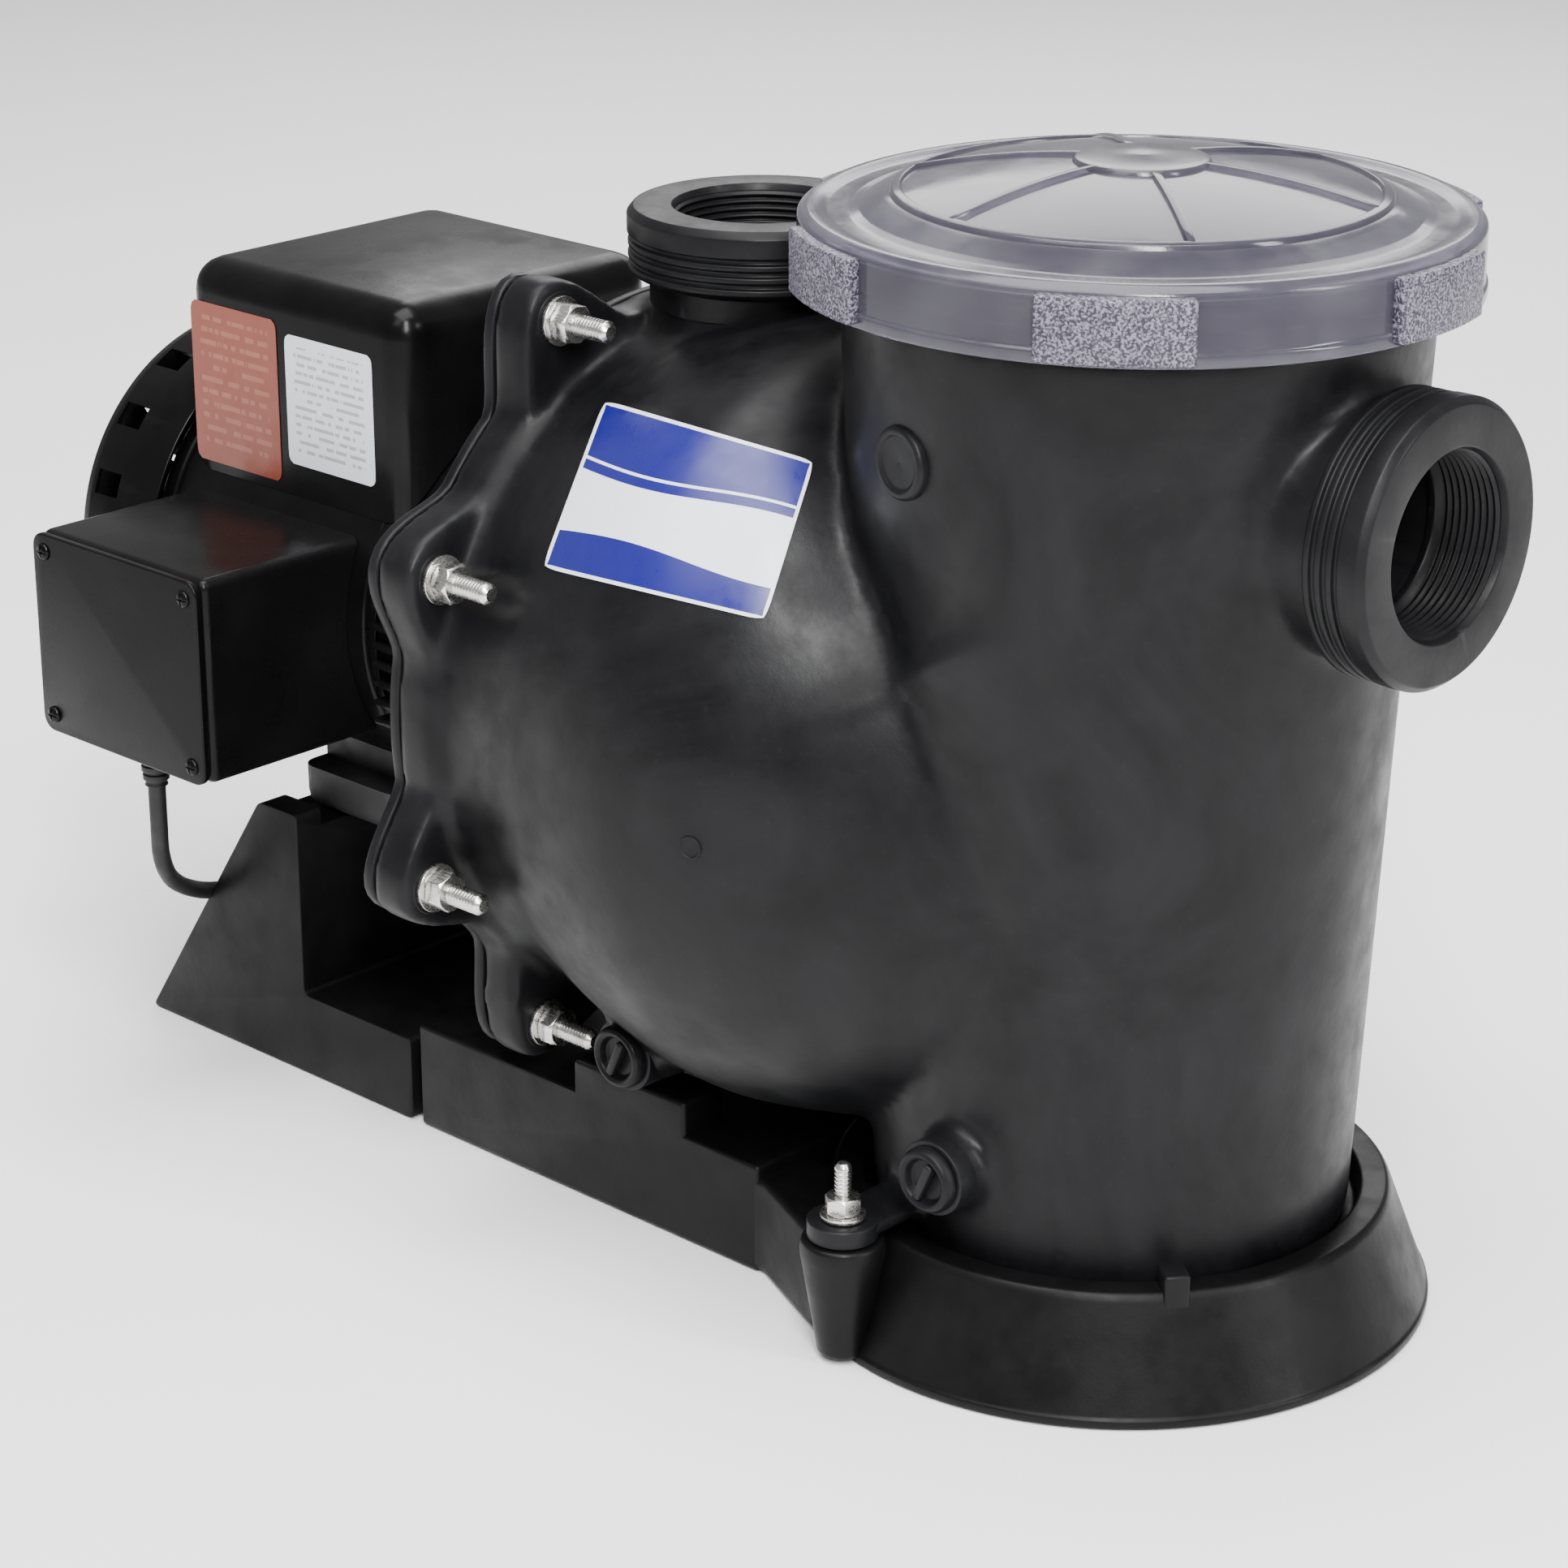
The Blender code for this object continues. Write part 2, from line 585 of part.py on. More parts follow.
def impeller_pieces():
    """Impeller, its screw and the diffuser around it."""
    shaft_place = (0, 0, SHAFT_Z)
    wheel = turned("impeller", [
        (14 * MM, -158 * MM), (14 * MM, -178 * MM), (62 * MM, -182 * MM), (62 * MM, -186 * MM),
        (14 * MM, -188 * MM), (14 * MM, -192 * MM), (SHAFT_R + GAP, -192 * MM),
        (SHAFT_R + GAP, -158 * MM)], "grey_plastic", shaft_place, ALONG_X, 20)
    for count in range(5):
        angle = 2 * pi * count / 5
        vane = block(f"impeller_vane_{count + 1}", (-1.5 * MM, 0, -183 * MM),
                     (1.5 * MM, 46 * MM, -168 * MM))
        place = Matrix.Translation(Vector(shaft_place)) @ Matrix.Rotation(pi / 2, 4, "Y")
        place = place @ Matrix.Rotation(angle, 4, "Z") @ Matrix.Translation(
            (14 * MM, 10 * MM, 0)) @ Matrix.Rotation(radians(-35), 4, "Z") @ Matrix.Translation(
            (0, 23 * MM - 6 * MM, -175.5 * MM))
        vane.matrix_local = place
        join(wheel, vane)
    turned("impeller_screw", [
        (0, -147 * MM), (4 * MM, -148 * MM), (8 * MM, -152 * MM), (8 * MM, -155 * MM),
        (0, -155 * MM)], "stainless", shaft_place, ALONG_X, 16)
    diffuser = turned("diffuser", [
        (92 * MM, -158 * MM), (92 * MM, -196 * MM), (88 * MM, -196 * MM), (88 * MM, -162 * MM),
        (26 * MM, -162 * MM), (26 * MM, -136 * MM), (29.6 * MM, -136 * MM),
        (29.6 * MM, -158 * MM)], "grey_plastic", shaft_place, ALONG_X, 24)
    for count in range(3):
        slot = block(f"diffuser_slot_{count + 1}", (-193 * MM, -120 * MM, SHAFT_Z - 7 * MM),
                     (-171 * MM, 120 * MM, SHAFT_Z + 7 * MM), turn=(pi * count / 3, 0, 0))
        cut(diffuser, slot)


def seal_plate_pieces():
    """Back plate of the volute with its gasket, the shaft seal and the water slinger."""
    axis = (0, 0, SHAFT_Z)
    front = FLANGE_SPLIT_X - 1.9 * MM
    plate = turned("seal_plate", [
        (CHAMBER_R - 1 * MM, -206 * MM), (CHAMBER_R - 1 * MM, -224 * MM), (71 * MM, -224 * MM),
        (66 * MM, -229 * MM), (66 * MM, MOTOR_FACE_X + GAP),
        (52 * MM, MOTOR_FACE_X + GAP), (52 * MM, -228 * MM), (28 * MM, -222 * MM),
        (28 * MM, -214 * MM), (10 * MM, -214 * MM), (10 * MM, -211 * MM),
        (24 * MM, -211 * MM), (24 * MM, -206 * MM)], "charcoal_plastic", axis, ALONG_X, 36)
    rim = lugged_plate("plate_rim", FLANGE_BACK_X, front)
    cut(rim, rod("plate_rim_bore", 100 * MM, 30 * MM, None, (-240 * MM, 0, SHAFT_Z), ALONG_X, 40))
    join(plate, rim)
    for count, (y, z) in enumerate(bolt_centres(), 1):
        cut(plate, rod(f"plate_bolt_hole_{count}", 4.6 * MM, 30 * MM, None,
                       (-240 * MM, y, z), ALONG_X, 8))
    turned("seal_plate_gasket", [
        (128 * MM, FLANGE_SPLIT_X - GAP), (128 * MM, FLANGE_SPLIT_X - 1.6 * MM),
        (119 * MM, FLANGE_SPLIT_X - 1.6 * MM), (119 * MM, FLANGE_SPLIT_X - GAP)], "rubber", axis,
        ALONG_X, 24)
    turned("shaft_seal_head", [
        (15 * MM, -194 * MM), (17 * MM, -199 * MM), (17 * MM, -202 * MM),
        (SHAFT_R + GAP, -202 * MM), (SHAFT_R + GAP, -194 * MM)], "stainless", axis, ALONG_X, 16)
    turned("shaft_seal_seat", [
        (23 * MM, -203 * MM), (23 * MM, -210.7 * MM), (9.5 * MM, -210.7 * MM),
        (9.5 * MM, -203 * MM)], "ceramic", axis, ALONG_X, 16)
    turned("shaft_slinger", [
        (20 * MM, -231 * MM), (20 * MM, -233 * MM), (12 * MM, -238 * MM),
        (SHAFT_R + GAP, -238 * MM), (SHAFT_R + GAP, -231 * MM)], "rubber", axis, ALONG_X, 16)


def flange_bolts():
    """Eight studs, each with its washer, nut and domed end, as one fastener apiece."""
    for count, (y, z) in enumerate(bolt_centres(), 1):
        stud = turned(f"flange_bolt_{count}", [
            (0, BOLT_TIP_X), (3 * MM, BOLT_TIP_X), (4 * MM, BOLT_TIP_X - 2 * MM),
            (4 * MM, LUG_FRONT_X + 1.8 * MM), (9 * MM, LUG_FRONT_X + 1.8 * MM),
            (9 * MM, LUG_FRONT_X + GAP), (4 * MM, LUG_FRONT_X + GAP),
            (4 * MM, FLANGE_BACK_X - GAP), (8 * MM, FLANGE_BACK_X - GAP),
            (8 * MM, FLANGE_BACK_X - 4 * MM), (0, FLANGE_BACK_X - 4 * MM)],
            "stainless", (0, y, z), ALONG_X, 8)
        nut = rod(f"flange_nut_{count}", 7.4 * MM, 8 * MM, None,
                  (LUG_FRONT_X + 1 * MM, y, z), ALONG_X, 6)
        join(stud, nut)


def motor_pieces():
    """Frame, end bells, fan, shroud, rotor and windings."""
    axis = (0, 0, SHAFT_Z)
    turned("motor_shaft", [
        (0, -155.3 * MM), (7.5 * MM, -155.3 * MM), (SHAFT_R, -157 * MM), (SHAFT_R, -462 * MM),
        (0, -462 * MM)], "stainless", axis, ALONG_X, 16)
    turned("motor_shell", [
        (MOTOR_R, SHELL_FRONT_X), (MOTOR_R, SHELL_BACK_X), (MOTOR_R - 4 * MM, SHELL_BACK_X),
        (MOTOR_R - 4 * MM, SHELL_FRONT_X)], "black_paint", axis, ALONG_X, 32)
    bell = turned("drive_end_bell", [
        (60 * MM, MOTOR_FACE_X), (60 * MM, MOTOR_FACE_X - 8 * MM),
        (71 * MM, MOTOR_FACE_X - 20 * MM), (77 * MM, -280 * MM),
        (77 * MM, SHELL_FRONT_X + GAP), (70 * MM, SHELL_FRONT_X + GAP), (67 * MM, -278 * MM),
        (26 * MM, -268 * MM), (26 * MM, -276 * MM), (20.3 * MM, -276 * MM),
        (20.3 * MM, -262 * MM), (11 * MM, -262 * MM), (11 * MM, MOTOR_FACE_X)],
        "black_paint", axis, ALONG_X, 24)
    for count in range(4):
        z = SHAFT_Z - 36 * MM + count * 10 * MM
        cut(bell, block(f"bell_vent_{count + 1}", (-299 * MM, -90 * MM, z),
                        (-281 * MM, -64 * MM, z + 4 * MM)))
    turned("front_bearing", [
        (20 * MM, -262.3 * MM), (20 * MM, -274 * MM), (SHAFT_R + GAP, -274 * MM),
        (SHAFT_R + GAP, -262.3 * MM)], "core_steel", axis, ALONG_X, 16)
    turned("rear_bearing", [
        (17 * MM, -421 * MM), (17 * MM, -431 * MM), (SHAFT_R + GAP, -431 * MM),
        (SHAFT_R + GAP, -421 * MM)], "core_steel", axis, ALONG_X, 16)
    turned("rotor_core", [
        (44 * MM, -326 * MM), (44 * MM, -398 * MM), (SHAFT_R + GAP, -398 * MM),
        (SHAFT_R + GAP, -326 * MM)], "core_steel", axis, ALONG_X, 20)
    turned("stator_core", [
        (73.6 * MM, -326 * MM), (73.6 * MM, -398 * MM), (45 * MM, -398 * MM),
        (45 * MM, -326 * MM)], "core_steel", axis, ALONG_X, 24)
    for name, near in (("winding_front", -304 * MM), ("winding_rear", -398.3 * MM)):
        turned(name, [
            (70 * MM, near), (70 * MM, near - 21.5 * MM), (50 * MM, near - 21.5 * MM),
            (50 * MM, near)], "copper", axis, ALONG_X, 20)
    turned("fan_end_bell", [
        (77 * MM, SHELL_BACK_X - GAP), (75 * MM, -437 * MM), (30 * MM, -440 * MM),
        (SHAFT_R + 1.5 * MM, -440 * MM), (SHAFT_R + 1.5 * MM, -434 * MM), (17.3 * MM, -434 * MM),
        (17.3 * MM, -423 * MM), (22 * MM, -423 * MM), (22 * MM, -433 * MM),
        (70 * MM, SHELL_BACK_X - GAP)], "black_paint", axis, ALONG_X, 20)
    fan = turned("cooling_fan", [
        (14 * MM, -442 * MM), (62 * MM, -446 * MM), (62 * MM, -448.5 * MM), (14 * MM, -449 * MM),
        (14 * MM, -460 * MM), (SHAFT_R + GAP, -460 * MM), (SHAFT_R + GAP, -442 * MM)],
        "black_plastic", axis, ALONG_X, 16)
    for count in range(6):
        blade = block(f"fan_blade_{count + 1}", (-462 * MM, -1.2 * MM, SHAFT_Z + 12 * MM),
                      (-447 * MM, 1.2 * MM, SHAFT_Z + 66 * MM))
        around = Matrix.Rotation(2 * pi * count / 6, 4, "X")
        blade.matrix_local = (Matrix.Translation((-454.5 * MM, 0, SHAFT_Z)) @ around
                              @ Matrix.Translation((0, 0, 39 * MM)))
        join(fan, blade)
    shroud = turned("fan_shroud", [
        (SHROUD_R, SHROUD_FRONT_X), (SHROUD_R, SHROUD_BACK_X + 6 * MM),
        (SHROUD_R - 6 * MM, SHROUD_BACK_X), (40 * MM, SHROUD_BACK_X - 9 * MM),
        (0, SHROUD_BACK_X - 9 * MM), (0, SHROUD_BACK_X - 7 * MM),
        (40 * MM, SHROUD_BACK_X - 7 * MM), (SHROUD_R - 7 * MM, SHROUD_BACK_X + 2 * MM),
        (SHROUD_R - 2 * MM, SHROUD_BACK_X + 7 * MM), (SHROUD_R - 2 * MM, SHROUD_FRONT_X)],
        "black_paint", axis, ALONG_X, 32)
    for count in range(3):
        angle = pi * count / 3
        for side, (inner, outer) in enumerate(((-70, -24), (24, 70))):
            slot = block(f"shroud_slot_{count + 1}_{side + 1}",
                         (SHROUD_BACK_X - 12 * MM, -3 * MM, SHAFT_Z + inner * MM),
                         (SHROUD_BACK_X + 4 * MM, 3 * MM, SHAFT_Z + outer * MM))
            middle = (inner + outer) / 2 * MM
            slot.matrix_local = (Matrix.Translation((SHROUD_BACK_X - 4 * MM, 0, SHAFT_Z))
                                 @ Matrix.Rotation(angle, 4, "X")
                                 @ Matrix.Translation((0, 0, middle)))
            cut(shroud, slot)
    spacer_count = 3
    for count in range(spacer_count):
        angle = 2 * pi * count / spacer_count
        spacer = block(f"shroud_spacer_{count + 1}", (0, 0, 0), (10 * MM, 8 * MM, 2.8 * MM))
        spacer.matrix_local = (Matrix.Translation((SHROUD_FRONT_X - 6 * MM, 0, SHAFT_Z))
                               @ Matrix.Rotation(angle, 4, "X")
                               @ Matrix.Translation((0, 0, SHROUD_R - 2.6 * MM)))
        join(shroud, spacer)


def electric_boxes():
    """Capacitor box on top of the motor, junction box on its side, and what they hold."""
    shell_clear = rod("shell_clearance", MOTOR_R + GAP, 260 * MM, None,
                      (-480 * MM, 0, SHAFT_Z), ALONG_X, 48)
    box = block("capacitor_box", CAP_BOX_LOW, CAP_BOX_HIGH, "black_paint", 12 * MM, 3)
    wall = Vector((3 * MM, 3 * MM, 3 * MM))
    inner_low = Vector(CAP_BOX_LOW) + Vector((3 * MM, 3 * MM, -20 * MM))
    cut(box, block("capacitor_box_inside", inner_low, Vector(CAP_BOX_HIGH) - wall, None,
                   9 * MM, 2))
    cut(box, shell_clear)
    cut(box, block("capacitor_box_hem", (-440 * MM, -80 * MM, 200 * MM),
                   (-280 * MM, 80 * MM, 222 * MM)))
    for name, y, radius in (("start_capacitor", -30 * MM, 19 * MM),
                            ("run_capacitor", 26 * MM, 21 * MM)):
        rod(name, radius, 96 * MM, "grey_plastic", (-405 * MM, y, 291 * MM), ALONG_X, 12)

    body = block("junction_box", JUNCTION_LOW, JUNCTION_HIGH, "black_paint", 4 * MM, 2)
    cut(body, block("junction_inside", Vector(JUNCTION_LOW) + Vector((3 * MM, -10 * MM, 3 * MM)),
                    Vector(JUNCTION_HIGH) + Vector((-3 * MM, -36 * MM, -3 * MM))))
    cut(body, shell_clear)
    cut(body, rod("gland_hole", 6 * MM, 20 * MM, None, (GLAND_X, GLAND_Y, 138 * MM),
                  (0, 0, 0), 16))
    cover = block("junction_cover", (JUNCTION_LOW[0], -150 * MM, JUNCTION_LOW[2]),
                  (JUNCTION_HIGH[0], JUNCTION_LOW[1] - GAP, JUNCTION_HIGH[2]), "black_paint",
                  0.8 * MM, 1)
    count = 0
    for x in (JUNCTION_LOW[0] + 7 * MM, JUNCTION_HIGH[0] - 7 * MM):
        for z in (JUNCTION_LOW[2] + 7 * MM, JUNCTION_HIGH[2] - 7 * MM):
            count += 1
            turned(f"junction_screw_{count}", [
                (0, 1.9 * MM), (2 * MM, 1.7 * MM), (3.4 * MM, GAP), (1.6 * MM, GAP),
                (1.6 * MM, -2.9 * MM), (0, -2.9 * MM)], "black_paint", (x, -150 * MM, z),
                TOWARDS_SIDE, 8)
            cut(cover, rod(f"cover_screw_hole_{count}", 2.2 * MM, 20 * MM, None,
                           (x, -140 * MM, z), TOWARDS_SIDE, 8))


def smooth_route(points, spacing):
    """Points at an even spacing along a smooth curve through the given ones."""
    places = [Vector(point) for point in points]
    ends = [places[0] * 2 - places[1]] + places + [places[-1] * 2 - places[-2]]
    fine = []
    for a, b, c, d in zip(ends, ends[1:], ends[2:], ends[3:]):
        for step in range(24):
            t = step / 24
            fine.append(0.5 * ((2 * b) + (c - a) * t + (2 * a - 5 * b + 4 * c - d) * t * t
                               + (3 * b - a - 3 * c + d) * t ** 3))
    fine.append(places[-1])
    lengths = [0]
    for first, second in zip(fine, fine[1:]):
        lengths.append(lengths[-1] + (second - first).length)
    count = max(2, round(lengths[-1] / spacing))
    made = []
    index = 0
    for step in range(count + 1):
        target = lengths[-1] * step / count
        while index < len(lengths) - 2 and lengths[index + 1] < target:
            index += 1
        share = (target - lengths[index]) / max(lengths[index + 1] - lengths[index], 1e-9)
        made.append(fine[index].lerp(fine[index + 1], share))
    return made


def cord_pieces():
    """Strain relief, cord, coil, tie, the cord's tail and its plug."""
    turned("cord_strain_relief", [
        (5.4 * MM, 148 * MM), (5.4 * MM, JUNCTION_LOW[2] - GAP), (9 * MM, JUNCTION_LOW[2] - GAP),
        (9 * MM, 139 * MM), (6.5 * MM, 137 * MM), (5 * MM, 122 * MM), (CORD_R + GAP, 122 * MM),
        (CORD_R + GAP, 148 * MM)], "rubber", (GLAND_X, GLAND_Y, 0), (0, 0, 0), 12)
    route = smooth_route(((GLAND_X, GLAND_Y, 146 * MM),) + CORD_ROUTE, 19 * MM)
    tube("power_cord", route, CORD_R, "rubber", 2)
    tube("power_cord_tail", smooth_route(TAIL_ROUTE, 14 * MM), CORD_R, "rubber", 2)
    x, y = COIL_CENTRE
    turned("cord_coil", [
        (COIL_OUTER, COIL_TOP_Z), (COIL_OUTER, COIL_Z), (COIL_INNER, COIL_Z),
        (COIL_INNER, COIL_TOP_Z)], "rubber", (x, y, 0), (0, 0, 0), 24)
    low = Vector((x + COIL_INNER - 3 * MM, y - 5 * MM, 0.2 * MM))
    high = Vector((x + COIL_OUTER + 1.6 * MM, y + 5 * MM, COIL_TOP_Z + 1.4 * MM))
    tie = block("cord_tie", low, high, "black_plastic")
    inside = Vector((1.1 * MM, -10 * MM, 1.1 * MM))
    cut(tie, block("tie_inside", low + inside, high - inside))
    plug = turned("power_plug", [
        (0, 44 * MM), (13 * MM, 44 * MM), (14.5 * MM, 42 * MM), (14.5 * MM, 26 * MM),
        (9.5 * MM, 18 * MM), (6.5 * MM, 6 * MM), (5 * MM, 0), (0, 0)],
        "rubber", (0, 0, 0), (0, 0, 0), 12)
    plug_frame = (Matrix.Translation(PLUG_PLACE) @ Matrix.Rotation(PLUG_TURN, 4, "Z")
                  @ Matrix.Rotation(pi / 2, 4, "Y"))
    plug.matrix_local = plug_frame @ Matrix.Diagonal((PLUG_FLATNESS, 1, 1, 1))
    for count, side in enumerate((-6.3 * MM, 6.3 * MM), 1):
        blade = block(f"plug_blade_{count}", (-3.2 * MM, -0.8 * MM, 0),
                      (3.2 * MM, 0.8 * MM, 16 * MM), "brass")
        blade.matrix_local = plug_frame @ Matrix.Translation((2 * MM, side, 52.3 * MM))
    pin = rod("plug_ground_pin", 2.4 * MM, 18 * MM, "brass", (0, 0, 0), (0, 0, 0), 12)
    pin.matrix_local = plug_frame @ Matrix.Translation((-7.5 * MM, 0, 44.3 * MM))


def drain_plugs():
    """The two drain plugs, each with a raised rim and a key across it."""
    for name, (x, y, z), _ in DRAIN_PLACES:
        plug = turned(name + "_plug", [
            (0, 9 * MM), (8.5 * MM, 9 * MM), (11.8 * MM, 7.5 * MM), (11.8 * MM, 4.3 * MM),
            (7.6 * MM, 4.3 * MM), (7.6 * MM, -12 * MM), (0, -12 * MM)],
            "charcoal_plastic", (x, y, z), TOWARDS_SIDE, 16)
        for side in (-1, 1):
            middle = x + side * 5.2 * MM
            cut(plug, block(f"{name}_key_{side + 2}", (middle - 2.6 * MM, y - 12 * MM, z - 6 * MM),
                            (middle + 2.6 * MM, y - 6.5 * MM, z + 6 * MM)))


def base_pieces():
    """Pump base with its ring, motor stand, motor foot and the studs that hold the pot."""
    base = turned("pump_base", [
        (0, POT_FOOT_Z - GAP), (87 * MM, POT_FOOT_Z - GAP), (88.5 * MM, RING_Z),
        (RING_TOP_R, RING_Z), (RING_FOOT_R, 0), (0, 0)], "base_plastic", steps=36)
    join(base, block("base_deck", (BASE_JOIN_X + 5 * MM, -BASE_HALF, 0),
                     (-91 * MM, BASE_HALF, DECK_Z)))
    for side in (-1, 1):
        low, high = sorted((side * 66 * MM, side * BASE_HALF))
        join(base, block(f"base_rail_{side + 2}", (-186 * MM, low, DECK_Z - 5 * MM),
                         (-128 * MM, high, 55 * MM), None, 2 * MM))
    for count, (x, y) in enumerate(POT_STUDS, 1):
        join(base, rod(f"stud_boss_{count}", 7 * MM, STUD_BOSS_Z - 2 * MM, None, (x, y, 2 * MM),
                       (0, 0, 0), 16, 12.5 * MM))
    tab_angle = radians(-38)
    tab = block("ring_tab", (-6 * MM, -5 * MM, 30 * MM), (6 * MM, 5 * MM, 50 * MM),
                turn=(0, 0, tab_angle))
    tab.location = (95 * MM * cos(tab_angle), 95 * MM * sin(tab_angle), 40 * MM)
    join(base, tab)
    cut(base, block("deck_cell", (-265 * MM, -80 * MM, -10 * MM), (-124 * MM, 80 * MM, 35 * MM)))
    cut(base, rod("ring_cell", 86 * MM, 37 * MM, None, (0, 0, -10 * MM),
                  (0, 0, radians(2)), 32))
    for count, (x, y) in enumerate(POT_STUDS, 1):
        cut(base, rod(f"stud_hole_{count}", 3.3 * MM, 30 * MM, None, (x, y, 24 * MM),
                      (0, 0, 0), 10))
        stud = turned(f"pot_stud_{count}", [
            (0, 74 * MM), (2 * MM, 73.5 * MM), (3 * MM, 72 * MM), (3 * MM, 56 * MM),
            (8 * MM, 55 * MM), (8 * MM, POT_EAR_Z + GAP), (3 * MM, POT_EAR_Z + GAP),
            (3 * MM, 26 * MM), (0, 26 * MM)], "stainless", (x, y, 0), (0, 0, 0), 12)
        join(stud, rod(f"pot_nut_{count}", 6.4 * MM, 8 * MM, None, (x, y, POT_EAR_Z + 1.5 * MM),
                       (0, 0, 0), 6))

    stand = outline("motor_stand", [
        (STAND_BACK_X, 0), (-363 * MM, STAND_Z), (-340 * MM, STAND_Z), (-340 * MM, 34 * MM),
        (BASE_JOIN_X, 34 * MM), (BASE_JOIN_X, 0)], -BASE_HALF, BASE_HALF, "base_plastic",
        (pi / 2, 0, 0))
    cut(stand, block("stand_open_back", (-460 * MM, -BASE_HALF + 6 * MM, -10 * MM),
                     (-346 * MM, BASE_HALF - 6 * MM, 97 * MM)))
    cut(stand, block("stand_cradle", (-460 * MM, -75 * MM, 103 * MM),
                     (-300 * MM, 75 * MM, 130 * MM)))
    cut(stand, block("stand_cell", (-334 * MM, -80 * MM, -10 * MM),
                     (-283 * MM, 80 * MM, 29 * MM)))
    foot = block("motor_foot", (-362 * MM, -66 * MM, 103.3 * MM), (-305 * MM, 66 * MM, 142 * MM),
                 "rubber", 7 * MM, 2)
    cut(foot, rod("foot_clearance", MOTOR_R + GAP, 120 * MM, None,
                  (-400 * MM, 0, SHAFT_Z), ALONG_X, 48))
    cut(foot, block("foot_relief", (-380 * MM, -100 * MM, 121 * MM),
                    (-290 * MM, -52 * MM, 160 * MM)))
    cut(foot, block("foot_relief_far", (-380 * MM, 52 * MM, 121 * MM),
                    (-290 * MM, 100 * MM, 160 * MM)))


def labels():
    """Three blank labels: one on the volute's skin and two on the capacitor box."""
    mesh = bpy.data.meshes.new("volute_label")
    shape = bmesh.new()
    rows = []
    for x in LABEL_STATIONS:
        row = []
        for turn_step in range(6):
            angle = radians(34.5 + 28.5 * turn_step / 5)
            row.append(shape.verts.new(body_point(x, angle, -LABEL_LIFT)))
        rows.append(row)
    for first, second in zip(rows, rows[1:]):
        for step in range(5):
            shape.faces.new((first[step], first[step + 1], second[step + 1], second[step]))
    shape.to_mesh(mesh)
    shape.free()
    label = add_object("volute_label", mesh, "white_label")
    thickness = label.modifiers.new("thickness", "SOLIDIFY")
    thickness.thickness = 0.4 * MM
    thickness.offset = 1
    face = CAP_BOX_LOW[1] - GAP
    block("box_label_red", (-416 * MM, face - 0.4 * MM, 236 * MM),
          (-365 * MM, face, 300 * MM), "red_label")
    block("box_label_white", (-360 * MM, face - 0.4 * MM, 245 * MM),
          (-310 * MM, face, 296 * MM), "white_label")


housing()
lid()
ring("lid_seal", 99 * MM, 2.3 * MM, "rubber", (0, 0, 384.8 * MM), steps=28, sides=6)
basket()
impeller_pieces()
seal_plate_pieces()
flange_bolts()
motor_pieces()
electric_boxes()
cord_pieces()
drain_plugs()
base_pieces()
labels()
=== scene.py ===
"""The pool pump's looks: fine surfaces, materials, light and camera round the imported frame."""
from math import atan2, cos, hypot, pi, radians, sin, sqrt

import bmesh
import bpy
from mathutils import Matrix, Vector
from mathutils.bvhtree import BVHTree


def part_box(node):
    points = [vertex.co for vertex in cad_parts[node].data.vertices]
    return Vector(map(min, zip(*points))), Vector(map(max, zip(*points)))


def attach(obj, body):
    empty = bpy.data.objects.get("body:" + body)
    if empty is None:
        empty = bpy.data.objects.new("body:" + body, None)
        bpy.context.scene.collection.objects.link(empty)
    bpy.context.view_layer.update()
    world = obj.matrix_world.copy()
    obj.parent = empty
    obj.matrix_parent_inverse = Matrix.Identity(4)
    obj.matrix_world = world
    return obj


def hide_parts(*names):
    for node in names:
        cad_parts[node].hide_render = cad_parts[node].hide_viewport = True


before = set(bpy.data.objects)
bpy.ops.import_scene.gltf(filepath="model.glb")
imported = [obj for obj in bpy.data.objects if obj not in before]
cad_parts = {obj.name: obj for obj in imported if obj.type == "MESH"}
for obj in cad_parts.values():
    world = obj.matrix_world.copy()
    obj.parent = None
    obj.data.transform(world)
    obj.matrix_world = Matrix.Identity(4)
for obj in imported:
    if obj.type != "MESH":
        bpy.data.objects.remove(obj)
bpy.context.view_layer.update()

MM = 0.001

# ---- driving places, read from the frame ---------------------------------------------------
seal_low, seal_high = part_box("lid_seal")
shaft_low, shaft_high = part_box("motor_shaft")
shell_low, shell_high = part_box("motor_shell")
lid_low, lid_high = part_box("lid")
_, housing_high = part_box("pump_housing")
POT_X = (seal_low.x + seal_high.x) / 2            # the pot's axis, with y = 0
SHAFT_Z = (shaft_low.z + shaft_high.z) / 2 / MM   # millimetres, as is all that follows
SUCTION_X = (housing_high.x - POT_X) / MM
SUCTION_Z = 302
DISCHARGE_X = -172
DISCHARGE_Z = 365
COLLAR_R = 48
PORT_R = 30.5
POT_RIM_R = 106
POT_TOP_Z = 382
POT_UPPER_R = 98.5
POT_LOWER_R = 84
POT_FOOT_Z = 34
LID_TOP_Z = lid_high.z / MM
LID_SKIRT_Z = lid_low.z / MM
LID_R = 112.7
LID_LUG_R = 117
LID_LUG_ANGLES = (-55, -115, -175, 65, 5, 125)
FLANGE_BACK_X = -226
FLANGE_SPLIT_X = -219
LUG_FRONT_X = -203
FLANGE_R = 138
LUG_R = 15
LUG_SPREAD = 13.5
BOLT_TIP_X = -176
BOLT_PLACES = ((27, 157), (66, 143), (112, 149), (146, 152))
MOTOR_R = (shell_high.z - shell_low.z) / 2 / MM
DRAINS = (("pot_drain", (2, -96, 74)), ("volute_drain", (-146, -96, 73)))
POT_STUDS = ((-28, -111), (-28, 111))
VENT_PLACE = (-18.8, -95, 320)
VENT_TURN = radians(-11)
GATE_MARK_PLACE = (-74.7, -136.9, 183.8)
GATE_MARK_TURN = radians(20)
BASE_HALF = 87.5
